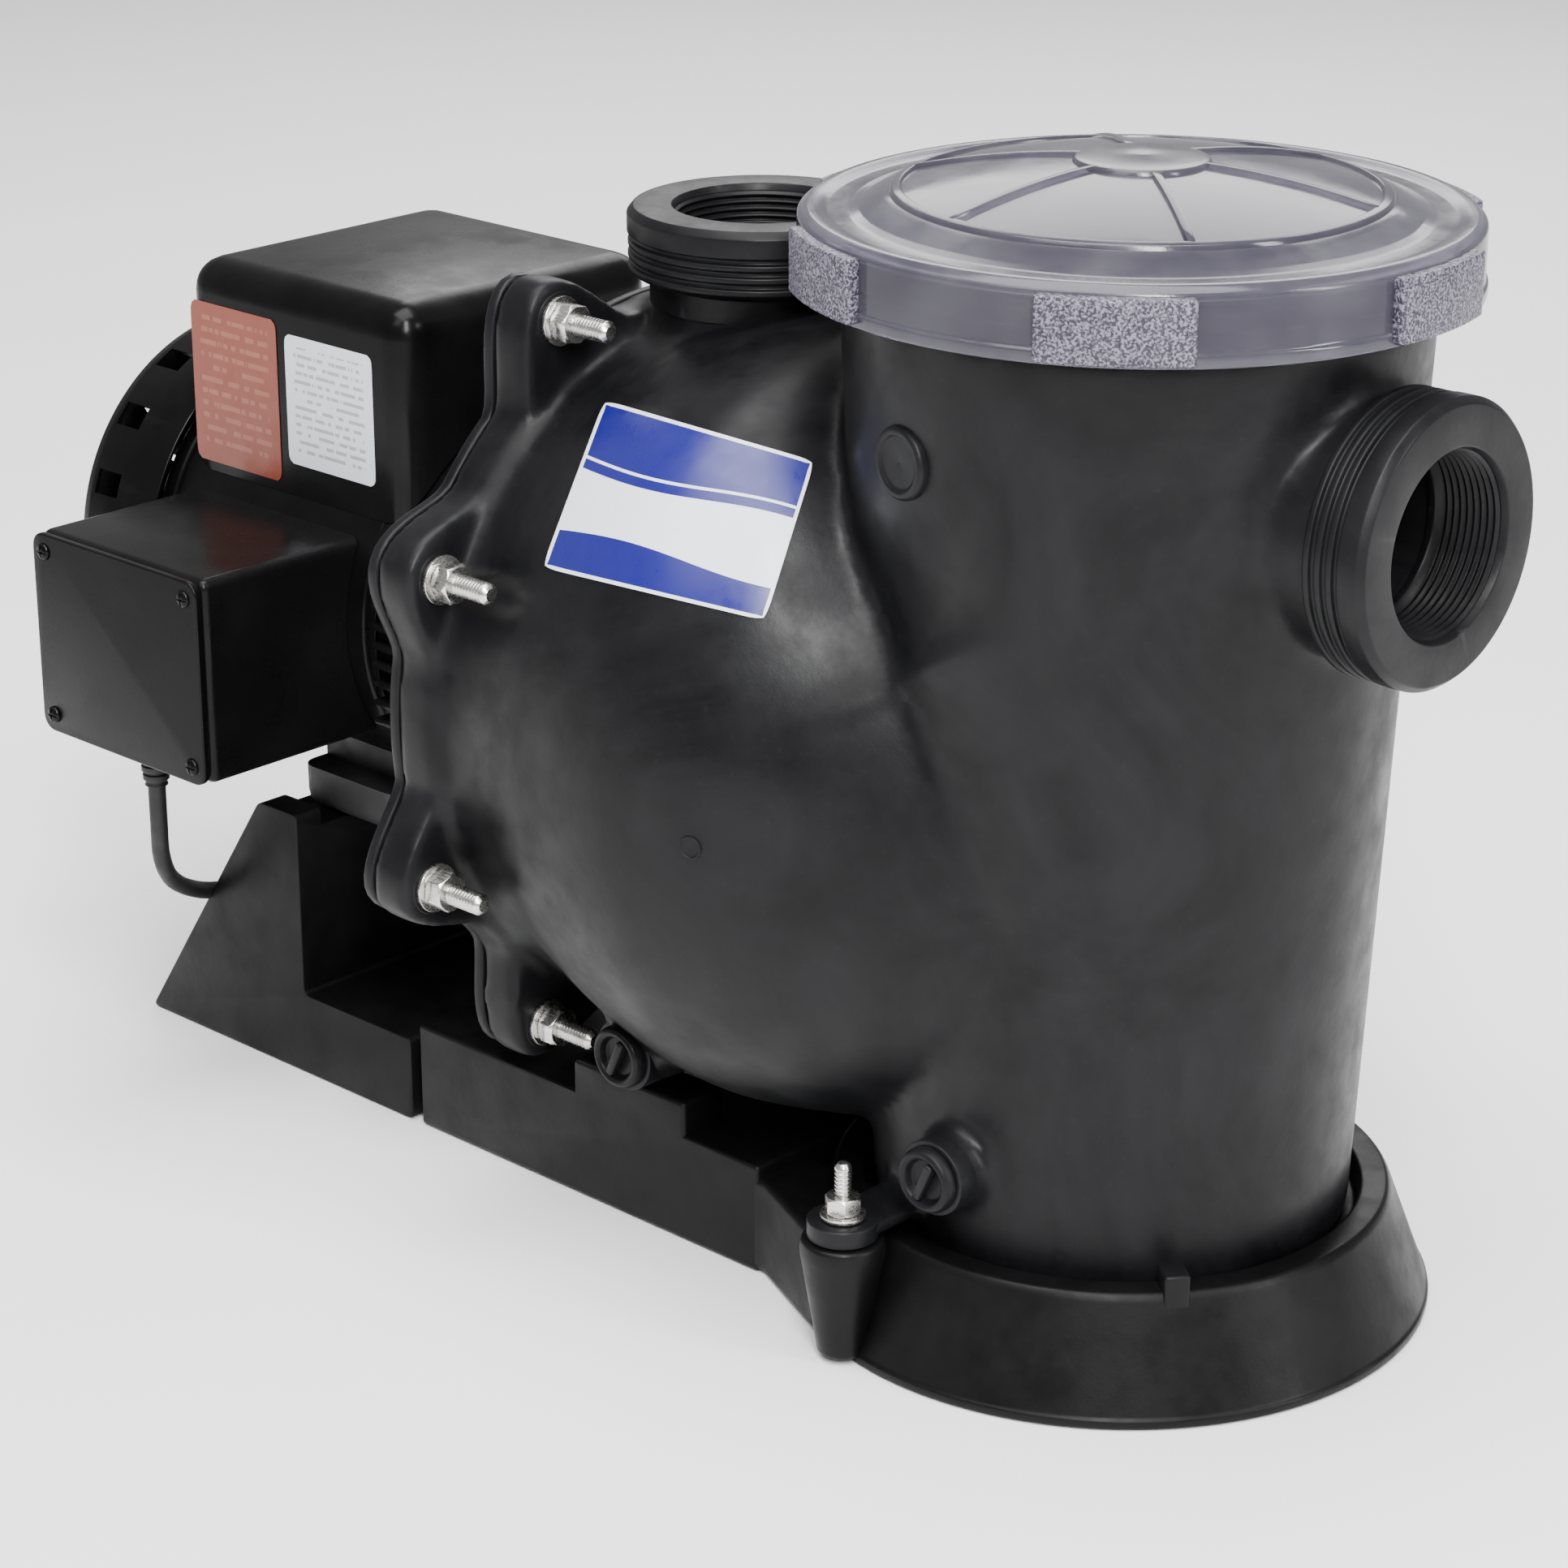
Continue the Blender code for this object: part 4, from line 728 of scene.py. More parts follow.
# ---- the volute and pot --------------------------------------------------------------------
# x, centre height, half width, height above and depth below the centre, squareness
BODY_SECTIONS = (
    (-215, 190, 134, 134, 134, 2.0),
    (-195, 190, 134, 134, 134, 2.0),
    (-180, 190, 136, 136, 135, 2.0),
    (-155, 190, 142, 142, 141, 2.1),
    (-110, 189, 145, 146, 143, 2.3),
    (-75, 186, 137, 132, 136, 2.3),
    (-40, 180, 120, 108, 122, 2.3),
    (0, 172, 97, 92, 104, 2.3),
    (40, 168, 72, 74, 84, 2.2),
)


def section_at(x):
    """The body's section at x: a smooth curve through the listed ones."""
    rows = BODY_SECTIONS
    x = min(max(x, rows[0][0]), rows[-1][0])
    for index in range(len(rows) - 1):
        if x <= rows[index + 1][0]:
            break
    before = rows[max(index - 1, 0)]
    low, high = rows[index], rows[index + 1]
    after = rows[min(index + 2, len(rows) - 1)]
    width = high[0] - low[0]
    t = (x - low[0]) / width
    made = []
    for a, b, c, d in zip(before, low, high, after):
        slope_in = (c - a) / max(high[0] - before[0], 1e-6) * width
        slope_out = (d - b) / max(after[0] - low[0], 1e-6) * width
        made.append((2 * t ** 3 - 3 * t ** 2 + 1) * b + (t ** 3 - 2 * t ** 2 + t) * slope_in
                    + (-2 * t ** 3 + 3 * t ** 2) * c + (t ** 3 - t ** 2) * slope_out)
    return made


def body_point(x, angle, lift=0.0):
    """A point of the body's skin in millimetres; the angle runs from straight up towards -Y."""
    _, centre, half, above, below, square = section_at(x)
    rise = cos(angle)
    side = sin(angle)
    tall = (above if rise > 0 else below) + lift
    power = 2 / square
    return Vector((x, -(abs(side) ** power) * (half + lift) * (1 if side > 0 else -1),
                   centre + (abs(rise) ** power) * tall * (1 if rise > 0 else -1)))


def loft(stations, sides=SKIN_SIDES, lift=0.0):
    """Closed mesh through the body's sections."""
    mesh = bpy.data.meshes.new("loft")
    shape = bmesh.new()
    rings = []
    for x in stations:
        rings.append([shape.verts.new(at(*body_point(x, 2 * pi * step / sides, lift)))
                      for step in range(sides)])
    for back, front in zip(rings, rings[1:]):
        for step in range(sides):
            after = (step + 1) % sides
            shape.faces.new((back[step], back[after], front[after], front[step]))
    shape.faces.new(rings[0])
    shape.faces.new(list(reversed(rings[-1])))
    bmesh.ops.recalc_face_normals(shape, faces=shape.faces)
    shape.to_mesh(mesh)
    shape.free()
    return mesh


def bolt_centres():
    """The (y, z) centre of every flange bolt, both sides."""
    centres = []
    for side in (-1, 1):
        for angle, reach in BOLT_PLACES:
            turn = radians(angle)
            centres.append((side * reach * sin(turn), SHAFT_Z + reach * cos(turn)))
    return centres


def scallop(grow=0.0, steps=240):
    """The flange's outline about the shaft: a disc that swells smoothly at each bolt."""
    points = []
    for step in range(steps):
        angle = 2 * pi * step / steps
        reach = FLANGE_R + grow
        for y, z in bolt_centres():
            away = angle - atan2(y, z - SHAFT_Z)
            away = abs((away + pi) % (2 * pi) - pi)
            if away < radians(LUG_SPREAD):
                swell = hypot(y, z - SHAFT_Z) + LUG_R - FLANGE_R
                reach += swell * (0.5 + 0.5 * cos(pi * away / radians(LUG_SPREAD))) ** 0.8
        points.append((reach * cos(angle), reach * sin(angle)))
    return points


# Turns a flat outline drawn with its own X up and its own Y to the side so that it faces +X.
FACING_X = Matrix(((0, 0, 1, 0), (0, 1, 0, 0), (1, 0, 0, 0), (0, 0, 0, 1)))


def flange_plate(back, front, bevel, grow=0.0):
    """Mesh of a scalloped plate between two places along the shaft."""
    return slab(scallop(grow), back, front, (0, 0, SHAFT_Z), FACING_X, bevel, 3)


def pot_radius(z):
    """Outside radius of the tapering pot at a height."""
    return POT_LOWER_R + (POT_UPPER_R - POT_LOWER_R) * (z - POT_FOOT_Z) / (360 - POT_FOOT_Z)


RIDGE_START = Vector((-51, 227))
RIDGE_END = Vector((14, 265))
RIDGE_HEIGHT = 1.5
HOLLOW_DEPTH = 3.6


def pressed(mesh):
    """Raise the soft ridge on the flank and press in the hollow above it, on both sides."""
    along = (RIDGE_END - RIDGE_START).normalized()
    across = Vector((-along.y, along.x))
    length = (RIDGE_END - RIDGE_START).length
    for vert in mesh.vertices:
        x = (vert.co.x - POT_X) / MM
        y = vert.co.y / MM
        z = vert.co.z / MM
        if abs(y) < 55 or x < -95 or x > 45:
            continue
        offset = Vector((x, z)) - RIDGE_START
        run = offset.dot(along) / length
        rise = offset.dot(across)
        window = max(0.0, 1 - ((run - 0.5) / 0.68) ** 2) ** 1.5
        ridge = RIDGE_HEIGHT * max(0.0, 1 - (rise / 9) ** 2) ** 2
        hollow = 0.0
        if 0 < rise < 56:
            share = rise / 56
            hollow = HOLLOW_DEPTH * 6.75 * share * (1 - share) ** 2
        push = (ridge - hollow) * window * min(1.0, (abs(y) - 55) / 25)
        vert.co.y += push * MM * (1 if y > 0 else -1)
    return mesh


def skin_mesh():
    """The moulding's outer form, its shapes grown together with soft fillets."""
    pot = turned([(0, 366), (pot_radius(366), 366), (pot_radius(POT_FOOT_Z), POT_FOOT_Z),
                  (0, POT_FOOT_Z)], steps=160, radius=0)
    body = loft([-215 + 255 * step / 64 for step in range(65)])
    suction = turned([(0, SUCTION_X - 20), (43, SUCTION_X - 20), (43, 70), (0, 70)],
                     (0, 0, SUCTION_Z), ALONG_X, 96, 0)
    discharge = turned([(0, DISCHARGE_Z - 18), (38.4, DISCHARGE_Z - 18), (38.4, 290), (0, 290)],
                       (DISCHARGE_X, 0, 0), UPRIGHT, 96, 0)
    flange = flange_plate(FLANGE_SPLIT_X - 1.5, LUG_FRONT_X + 0.8, 0)
    shapes = [pot, body, suction, discharge, flange]
    for _, (x, y, z) in DRAINS:
        shapes.append(turned([(0, 26), (13.5, 26), (14.5, -6), (0, -6)], (x, y + 22, z),
                             TOWARDS_SIDE, 64, 0))
    for x, y in POT_STUDS:
        side = 1 if y > 0 else -1
        shapes.append(brick((x - 10, min(y * 0.62, y + side * 2), 46.5),
                            (x + 12, max(y * 0.62, y + side * 2), 53), 0))
    grown = helper("skin", merged("skin", shapes))
    remesh = grown.modifiers.new("grow", "REMESH")
    remesh.mode = "VOXEL"
    remesh.voxel_size = SKIN_GRAIN * MM
    relax = grown.modifiers.new("fillet", "SMOOTH")
    relax.factor = 0.5
    relax.iterations = SKIN_SOFTENING
    return pressed(baked(grown))


def collar(place, turn, face, end):
    """A port's collar: broad chamfered face, raised rings behind it and a threaded bore."""
    outside = [(PORT_R + 1.5, face), (COLLAR_R - 2.2, face), (COLLAR_R, face - 2.6),
               (COLLAR_R, face - 9.5)]
    for count in range(3):
        z = face - 9.5 - count * 4.4
        outside += [(COLLAR_R - 1.9, z - 0.5), (COLLAR_R - 1.9, z - 2.0),
                    (COLLAR_R - 0.3, z - 2.5), (COLLAR_R - 0.3, z - 4.4)]
    outside += [(COLLAR_R - 2.5, face - 24.3), (40, face - 26), (40, end), (PORT_R - 2.6, end)]
    bore = [(PORT_R - 2.6, face - 26)]
    for count in range(9):
        z = face - 25 + count * 2.6
        bore += [(PORT_R - 1.2 + count * 0.05, z + 0.4), (PORT_R + 0.1 + count * 0.05, z + 1.4),
                 (PORT_R + 0.1 + count * 0.05, z + 1.8)]
    return turned(outside + bore, place, turn, 128, 0.5)


def make_housing():
    """The moulding, its collars and flange, and the small bosses on it."""
    skin = skin_mesh()
    inside = turned([(0, 420), (90, 420), (90, 350), (85, 350), (77, 43), (0, 43)], steps=128,
                    radius=0.5)
    chamber = loft([-142 + 100 * step / 20 for step in range(21)], 64, -8)
    pumping = turned([(0, -150), (118, -150), (118, -240), (0, -240)], (0, 0, SHAFT_Z), ALONG_X,
                     128, 0.5)
    eye = turned([(0, -120), (30, -120), (30, -180), (0, -180)], (0, 0, SHAFT_Z), ALONG_X, 64, 0)
    suction = turned([(0, 150), (PORT_R + 0.4, 150), (PORT_R + 0.4, 50), (0, 50)],
                     (0, 0, SUCTION_Z), ALONG_X, 96, 0)
    discharge = turned([(0, 400), (PORT_R + 0.4, 400), (PORT_R + 0.4, 240), (0, 240)],
                       (DISCHARGE_X, 0, 0), UPRIGHT, 96, 0)
    hollows = [inside, chamber, pumping, eye, suction, discharge]
    hollowed = boolean(skin, hollows, solver="MANIFOLD")
    piece("housing_skin", shade(hollowed, 38), "charcoal_plastic", "pump", ["pump_housing"])

    rim = turned([(90, POT_TOP_Z), (POT_RIM_R, POT_TOP_Z), (POT_RIM_R, 376), (POT_RIM_R - 2, 375),
                  (POT_RIM_R - 2, 366), (pot_radius(362) - 1, 362), (90, 362)],
                 steps=160, radius=0.8)
    piece("pot_rim", rim, "charcoal_plastic")
    piece("suction_collar", collar((0, 0, SUCTION_Z), ALONG_X, SUCTION_X, 100),
          "charcoal_plastic")
    piece("discharge_collar", collar((DISCHARGE_X, 0, 0), UPRIGHT, DISCHARGE_Z, 330),
          "charcoal_plastic")

    for count, (y, z) in enumerate(bolt_centres(), 1):
        seat = turned([(4.4, LUG_FRONT_X + 0.8), (10.2, LUG_FRONT_X + 0.8),
                       (11.6, LUG_FRONT_X - 4), (4.4, LUG_FRONT_X - 4)],
                      (0, y, z), ALONG_X, 48, 0.6)
        piece(f"bolt_seat_{count}", seat, "charcoal_plastic")

    for name, (x, y, z) in DRAINS:
        lip = turned([(8.2, 4.1), (13.5, 4.1), (13.5, -8), (8.2, -8)], (x, y, z), TOWARDS_SIDE, 64,
                     0.9)
        piece(name + "_boss", lip, "charcoal_plastic")
    for count, (x, y) in enumerate(POT_STUDS, 1):
        ear = turned([(3.4, 53), (12.5, 53), (12.5, 46.3), (3.4, 46.3)], (x, y, 0), UPRIGHT, 64,
                     0.9)
        piece(f"pot_ear_{count}", ear, "charcoal_plastic")

    vent_turn = Matrix.Rotation(VENT_TURN, 4, "Z") @ TOWARDS_SIDE
    vent = turned([(0, 1.3), (8.6, 1.3), (9.6, 2.3), (11.4, 2.3), (12.4, 1.2), (12.8, -5), (0, -5)],
                  VENT_PLACE, vent_turn, 64, 0.8)
    piece("vent_boss", vent, "charcoal_plastic")
    mark_turn = Matrix.Rotation(GATE_MARK_TURN, 4, "Z") @ TOWARDS_SIDE
    mark = turned([(0, 0.1), (3.2, 0.1), (3.4, 0.5), (4.2, 0.5), (4.4, -3), (0, -3)],
                  GATE_MARK_PLACE, mark_turn, 48, 0.2)
    piece("gate_mark", mark, "charcoal_plastic")


def make_seal_plate():
    """The scalloped back plate, ribbed behind, with the motor's spigot ring."""
    rim = flange_plate(FLANGE_BACK_X, FLANGE_SPLIT_X - 2.0, 1.4, -1.4)
    bore = turned([(0, -190), (112, -190), (112, -260), (0, -260)], (0, 0, SHAFT_Z), ALONG_X,
                  128, 0)
    rim = boolean(rim, [bore])
    plate = turned([
        (117, -206), (117, -224), (71, -224), (66, -229), (66, -247.6), (52, -247.6), (52, -228),
        (28, -222), (28, -214), (10, -214), (10, -211), (24, -211), (24, -206)],
        (0, 0, SHAFT_Z), ALONG_X, 144, 1.2)
    piece("seal_plate_face", merged("seal_plate_face", [rim, plate]), "charcoal_plastic", "pump",
          ["seal_plate"])
    ribs = []
    for count in range(16):
        angle = 2 * pi * count / 16 + radians(6)
        rib = brick((-229.6, 68, SHAFT_Z - 2), (-223.6, 127, SHAFT_Z + 2), 0.9, 2)
        ribs.append(swung(rib, (0, 0, SHAFT_Z), Matrix.Rotation(angle, 4, "X")))
    piece("seal_plate_ribs", merged("seal_plate_ribs", ribs), "charcoal_plastic")


def hexagon(radius):
    """Outline of a nut."""
    return [(radius * cos(pi * step / 3), radius * sin(pi * step / 3)) for step in range(6)]


def nut_mesh(radius, low, high, place, turn):
    """A nut: its hexagon cut at both ends by a cone, as a turned shape meeting the prism."""
    prism = slab(hexagon(radius), low, high, place, turn, 0)
    middle = (low + high) / 2
    half = (high - low) / 2
    cone = turned([(0, high + 0.01), (radius * 0.84, high + 0.01),
                   (radius * 1.05, high - half * 0.45), (radius * 1.05, middle),
                   (radius * 1.05, low + half * 0.45),
                   (radius * 0.84, low - 0.01), (0, low - 0.01)], place, turn, 48, 0)
    return bevelled(boolean(prism, [cone], "INTERSECT"), 0.3, 2, 25)


def stud_profile(radius, low, high, pitch=1.5, tip=3.0):
    """Half outline of a threaded stud with a rounded tip, top to bottom."""
    points = [(0, high), (radius * 0.6, high - 0.3), (radius * 0.92, high - tip * 0.5)]
    z = high - tip * 0.7
    while z - pitch > low:
        points += [(radius, z), (radius, z - pitch * 0.25), (radius * 0.86, z - pitch * 0.6),
                   (radius * 0.86, z - pitch * 0.8)]
        z -= pitch
    return points + [(radius, low + 0.1), (radius, low), (0, low)]


def make_fasteners():
    """The flange's studs with washers and nuts, and the two that hold the pot."""
    for count, (y, z) in enumerate(bolt_centres(), 1):
        place = (0, y, z)
        seat = LUG_FRONT_X + 0.9
        washer = turned([(4.2, seat + 1.7), (9, seat + 1.7), (9, seat), (4.2, seat)], place,
                        ALONG_X, 64, 0.35)
        stud = turned(stud_profile(4, seat - 4, BOLT_TIP_X), place, ALONG_X, 40, 0)
        spun = ALONG_X @ Matrix.Rotation(radians(17 * count), 4, "Z")
        nut = nut_mesh(7.6, seat + 1.8, seat + 9.4, place, spun)
        head = nut_mesh(7.6, FLANGE_BACK_X - 4.6, FLANGE_BACK_X - 0.2, place, spun)
        piece(f"flange_stud_{count}", merged("flange_stud", [washer, stud, nut, head]), "stainless",
              "pump", [f"flange_bolt_{count}"])
    for count, (x, y) in enumerate(POT_STUDS, 1):
        washer = turned([(3.2, 55), (8, 55), (8, 53.4), (3.2, 53.4)], (x, y, 0), UPRIGHT, 64, 0.35)
        stud = turned(stud_profile(3, 40, 74), (x, y, 0), UPRIGHT, 40, 0)
        nut = nut_mesh(6.6, 55.1, 61.6, (x, y, 0), Matrix.Rotation(radians(20), 4, "Z"))
        piece(f"pot_stud_nut_{count}", merged("pot_stud", [washer, stud, nut]), "stainless", "pump",
              [f"pot_stud_{count}"])


# ---- lid, basket and drain plugs -----------------------------------------------------------
def dome_height(radius):
    """Height of the lid's outer surface at a radius."""
    share = radius / 92
    return LID_TOP_Z - 1.6 - 13.5 * share ** 2.1 if radius < 92 else 391.5


def arc_points(inner, outer, spread, steps=10):
    """Outline of a ring's piece that spans the given degrees about +X."""
    half = radians(spread) / 2
    angles = [-half + 2 * half * step / steps for step in range(steps + 1)]
    return ([(outer * cos(a), outer * sin(a)) for a in angles]
            + [(inner * cos(a), inner * sin(a)) for a in reversed(angles)])


def make_lid():
    """Clear lid with a stepped dome, a hub, six ribs and six frosted grip faces."""
    outer = [(0, dome_height(0))]
    outer += [(radius, dome_height(radius)) for radius in range(8, 93, 7)]
    outer += [(93, 391.2), (96, 390.2), (103, 390.0), (106.5, 391.6), (109.5, 391.6),
              (LID_R, 389), (LID_R, 371), (LID_R + 0.9, 370.2), (LID_R + 0.9, LID_SKIRT_Z),
              (LID_R - 3.6, LID_SKIRT_Z), (LID_R - 3.6, 386.8), (96, 386.8), (92, 387.6)]
    inner = [(radius, dome_height(radius) - 4.2) for radius in range(85, 0, -8)]
    profile = outer + inner + [(0, dome_height(0) - 4.2)]
    piece("lid_cover", turned(profile, (0, 0, 0), steps=160, radius=0.9), "clear_lid", "lid",
          ["lid"])
    ribs = []
    for count in range(6):
        angle = radians(20 + 60 * count)
        points = []
        for step in range(9):
            radius = 20 + 60 * step / 8
            points.append((radius, dome_height(radius)))
        outline = [(r, h + 1.5) for r, h in points] + [(r, h - 0.6) for r, h in reversed(points)]
        turn = Matrix.Rotation(angle, 4, "Z") @ TOWARDS_SIDE
        ribs.append(slab(outline, -1.4, 1.4, (0, 0, 0), turn, 0.5, 2))
    hub = turned([(0, dome_height(0) + 1.5), (18, dome_height(18) + 1.5),
                  (22, dome_height(22) + 1.5), (23.2, dome_height(23) - 0.5),
                  (0, dome_height(0) - 0.5)], steps=96, radius=0.7)
    ring = turned([(79, dome_height(79) + 1.4), (82, dome_height(82) + 1.3),
                   (83, dome_height(83) - 0.6), (78, dome_height(78) - 0.6)],
                  steps=160, radius=0.5)
    piece("lid_ribs", merged("lid_ribs", ribs + [hub, ring]), "clear_lid", "lid")
    for count, angle in enumerate(LID_LUG_ANGLES, 1):
        lug = slab(filleted(arc_points(LID_R - 1, LID_LUG_R, 25), 1.6), LID_SKIRT_Z + 1.4, 388.5,
                   (0, 0, 0), Matrix.Rotation(radians(angle), 4, "Z"), 0.9, 3)
        piece(f"lid_grip_{count}", lug, "frosted_lid", "lid")
    seal = turned([(99 + 2.3 * cos(2 * pi * step / 14), 384.8 + 2.3 * sin(2 * pi * step / 14))
                   for step in range(14, 0, -1)], steps=128, radius=0)
    piece("seal_ring", seal, "rubber", "seal_ring", ["lid_seal"])


def make_basket():
    """Strainer basket: upright bars and hoops between a rim and a pierced floor."""
    def wall(z):
        return 70 + 11 * (z - 62) / 288
    parts = [turned([(88, 353.2), (88, 350.4), (79.6, 350.4), (77.6, 340), (79.4, 340),
                     (81.6, 353.2)], steps=128, radius=0.7),
             turned([(0, 65), (70, 65), (70, 62.2), (0, 62.2)], steps=96, radius=0.5)]
    for z in range(78, 345, 20):
        reach = wall(z)
        parts.append(turned([(reach - 0.6, z + 1.3), (reach - 0.6, z - 1.3), (reach - 2.4, z - 1.3),
                             (reach - 2.4, z + 1.3)], steps=96, radius=0.4))
    for count in range(40):
        angle = 2 * pi * count / 40
        if abs((angle + pi) % (2 * pi) - pi) < radians(24):
            tops = (62, 268)
        else:
            tops = (62, 345)
        lean = Matrix.Rotation(angle, 4, "Z")
        bar = brick((-1.2, -1.3, 0), (1.2, 1.3, 1), 0)
        bar.transform(Matrix.Translation(-at(0, 0, 0)))
        for vert in bar.vertices:
            z = tops[0] if vert.co.z < 0.5 * MM else tops[1]
            vert.co.x += (wall(z) - 1.3) * MM
            vert.co.z = z * MM
        bar.transform(Matrix.Translation(at(0, 0, 0)) @ lean)
        parts.append(bar)
    inlet = turned([(33, 82), (36, 82), (36, 76), (33, 76)], (0, 0, SUCTION_Z), ALONG_X, 64, 0.4)
    parts.append(inlet)
    piece("basket_cage", merged("basket_cage", parts), "white_plastic", "basket",
          ["strainer_basket"])
    arch = [at(0, 84 * cos(pi * step / 24), 351.8 + 17 * sin(pi * step / 24)) for step in range(25)]
    wire("basket_handle", arch, 2.2 * MM, "white_plastic", "basket")


def make_drain_plugs():
    """Drain plugs with a dished rim and a grip bar across it."""
    for name, (x, y, z) in DRAINS:
        dish = turned([(0, 5.4), (7.2, 5.4), (8.2, 8.2), (9.6, 9), (11, 8.2), (11.8, 6),
                       (11.8, 4.3), (7.6, 4.3), (7.6, -12), (0, -12)], (x, y, z), TOWARDS_SIDE,
                      72, 0.6)
        grip = brick((x - 1.7, y - 9.3, z - 7.6), (x + 1.7, y - 5, z + 7.6), 1.1, 3)
        swung(grip, (x, y, z), Matrix.Rotation(DRAIN_TILT, 4, "Y"))
        piece(name + "_cap", merged(name, [dish, grip]), "charcoal_plastic", name, [name + "_plug"])


# ---- motor ---------------------------------------------------------------------------------
def make_motor():
    """Motor frame, end bells with fins at the drive end, shroud with slots, and the fan wheel."""
    axis = (0, 0, SHAFT_Z)
    shell = turned([
        (78, -300), (78, -304), (77.4, -305), (77.4, -306.5), (78, -307.5), (78, -422.5),
        (77.4, -423.5), (77.4, -425), (78, -426), (78, -430), (74, -430), (74, -300)],
        axis, ALONG_X, 160, 0.5)
    piece("motor_frame", shell, "black_paint", "pump", ["motor_shell"])

    bell = turned([(60, -248), (60, -256), (66, -262), (71, -268), (75, -274), (77, -281),
                   (77, -299.7), (70, -299.7), (67, -278), (26, -268), (26, -276), (20.3, -276),
                   (20.3, -262), (11, -262), (11, -248)], axis, ALONG_X, 144, 1.2)
    parts = [bell]
    for side in (-1, 1):
        for count in range(7):
            fin = brick((-299, side * 74 - 6.5, SHAFT_Z - 33 + count * 7.5),
                        (-285, side * 74 + 6.5, SHAFT_Z - 30.6 + count * 7.5), 0.5, 2)
            parts.append(fin)
    for count in range(4):
        angle = radians(45 + 90 * count)
        ear = turned([(0, -250), (8, -250), (8, -262), (0, -262)],
                     (0, 61 * sin(angle), SHAFT_Z + 61 * cos(angle)), ALONG_X, 40, 0.8)
        parts.append(ear)
    piece("drive_bell", merged("drive_bell", parts), "black_paint", "pump", ["drive_end_bell"])

    rear = turned([(77, -430.3), (76.4, -434), (73, -437), (30, -440), (9.5, -440), (9.5, -434),
                   (17.3, -434), (17.3, -423), (22, -423), (22, -433), (70, -430.3)], axis, ALONG_X,
                  128, 0.8)
    piece("rear_bell", rear, "black_paint", "pump", ["fan_end_bell"])

    hood = turned([
        (84, -428), (84, -468), (83, -472), (80, -475.5), (75, -478), (62, -481.5), (40, -484.8),
        (20, -486.4), (0, -486.9), (0, -485), (20, -484.5), (40, -483), (62, -479.6), (75, -476),
        (79, -473.8), (81.2, -471), (82.2, -467), (82.2, -428)], axis, ALONG_X, 160, 0.6)
    slots = []
    for row, (inner, outer, count) in enumerate(((22, 42, 8), (48, 70, 14))):
        for step in range(count):
            angle = 2 * pi * (step + 0.5 * row) / count
            outline = filleted([(inner, -3.2), (outer, -3.2), (outer, 3.2), (inner, 3.2)], 2.8)
            turn = ALONG_X @ Matrix.Rotation(angle, 4, "Z")
            slots.append(slab(outline, -500, -470, axis, turn, 0))
    for step in range(18):
        angle = 2 * pi * step / 18
        slot = brick((-466, 70, SHAFT_Z - 5), (-452, 92, SHAFT_Z + 5), 0)
        slots.append(swung(slot, axis, Matrix.Rotation(angle, 4, "X")))
    cutter = merged("hood_slots", slots)
    hood = boolean(hood, [cutter])
    piece("fan_hood", shade(hood), "black_paint", "pump", ["fan_shroud"])

    fan = [turned([(14, -442), (62, -446), (62, -448.5), (14, -449), (14, -460), (8.3, -460),
                   (8.3, -442)], axis, ALONG_X, 96, 0.5)]
    for count in range(7):
        angle = 2 * pi * count / 7
        blade = brick((-462, -1.2, SHAFT_Z + 13), (-447, 1.2, SHAFT_Z + 65), 0.5, 2)
        fan.append(swung(blade, axis, Matrix.Rotation(angle, 4, "X")))
    piece("fan_wheel", merged("fan_wheel", fan), "black_plastic", "rotor", ["cooling_fan"])


CAP_LOW = (-421, -66, 222)
CAP_HIGH = (-292, 66, 316)
JUNCTION_LOW = (-414, -146.7, 145)
JUNCTION_HIGH = (-316, -60, 225)


def rounded_rectangle(width, height, radius, steps=6):
    """Outline of a rectangle with round corners, about its centre."""
    points = []
    for count, (sx, sy) in enumerate(((1, 1), (-1, 1), (-1, -1), (1, -1))):
        for step in range(steps + 1):
            angle = pi / 2 * (count + step / steps)
            points.append((sx * (width / 2 - radius) + radius * cos(angle),
                           sy * (height / 2 - radius) + radius * sin(angle)))
    return points


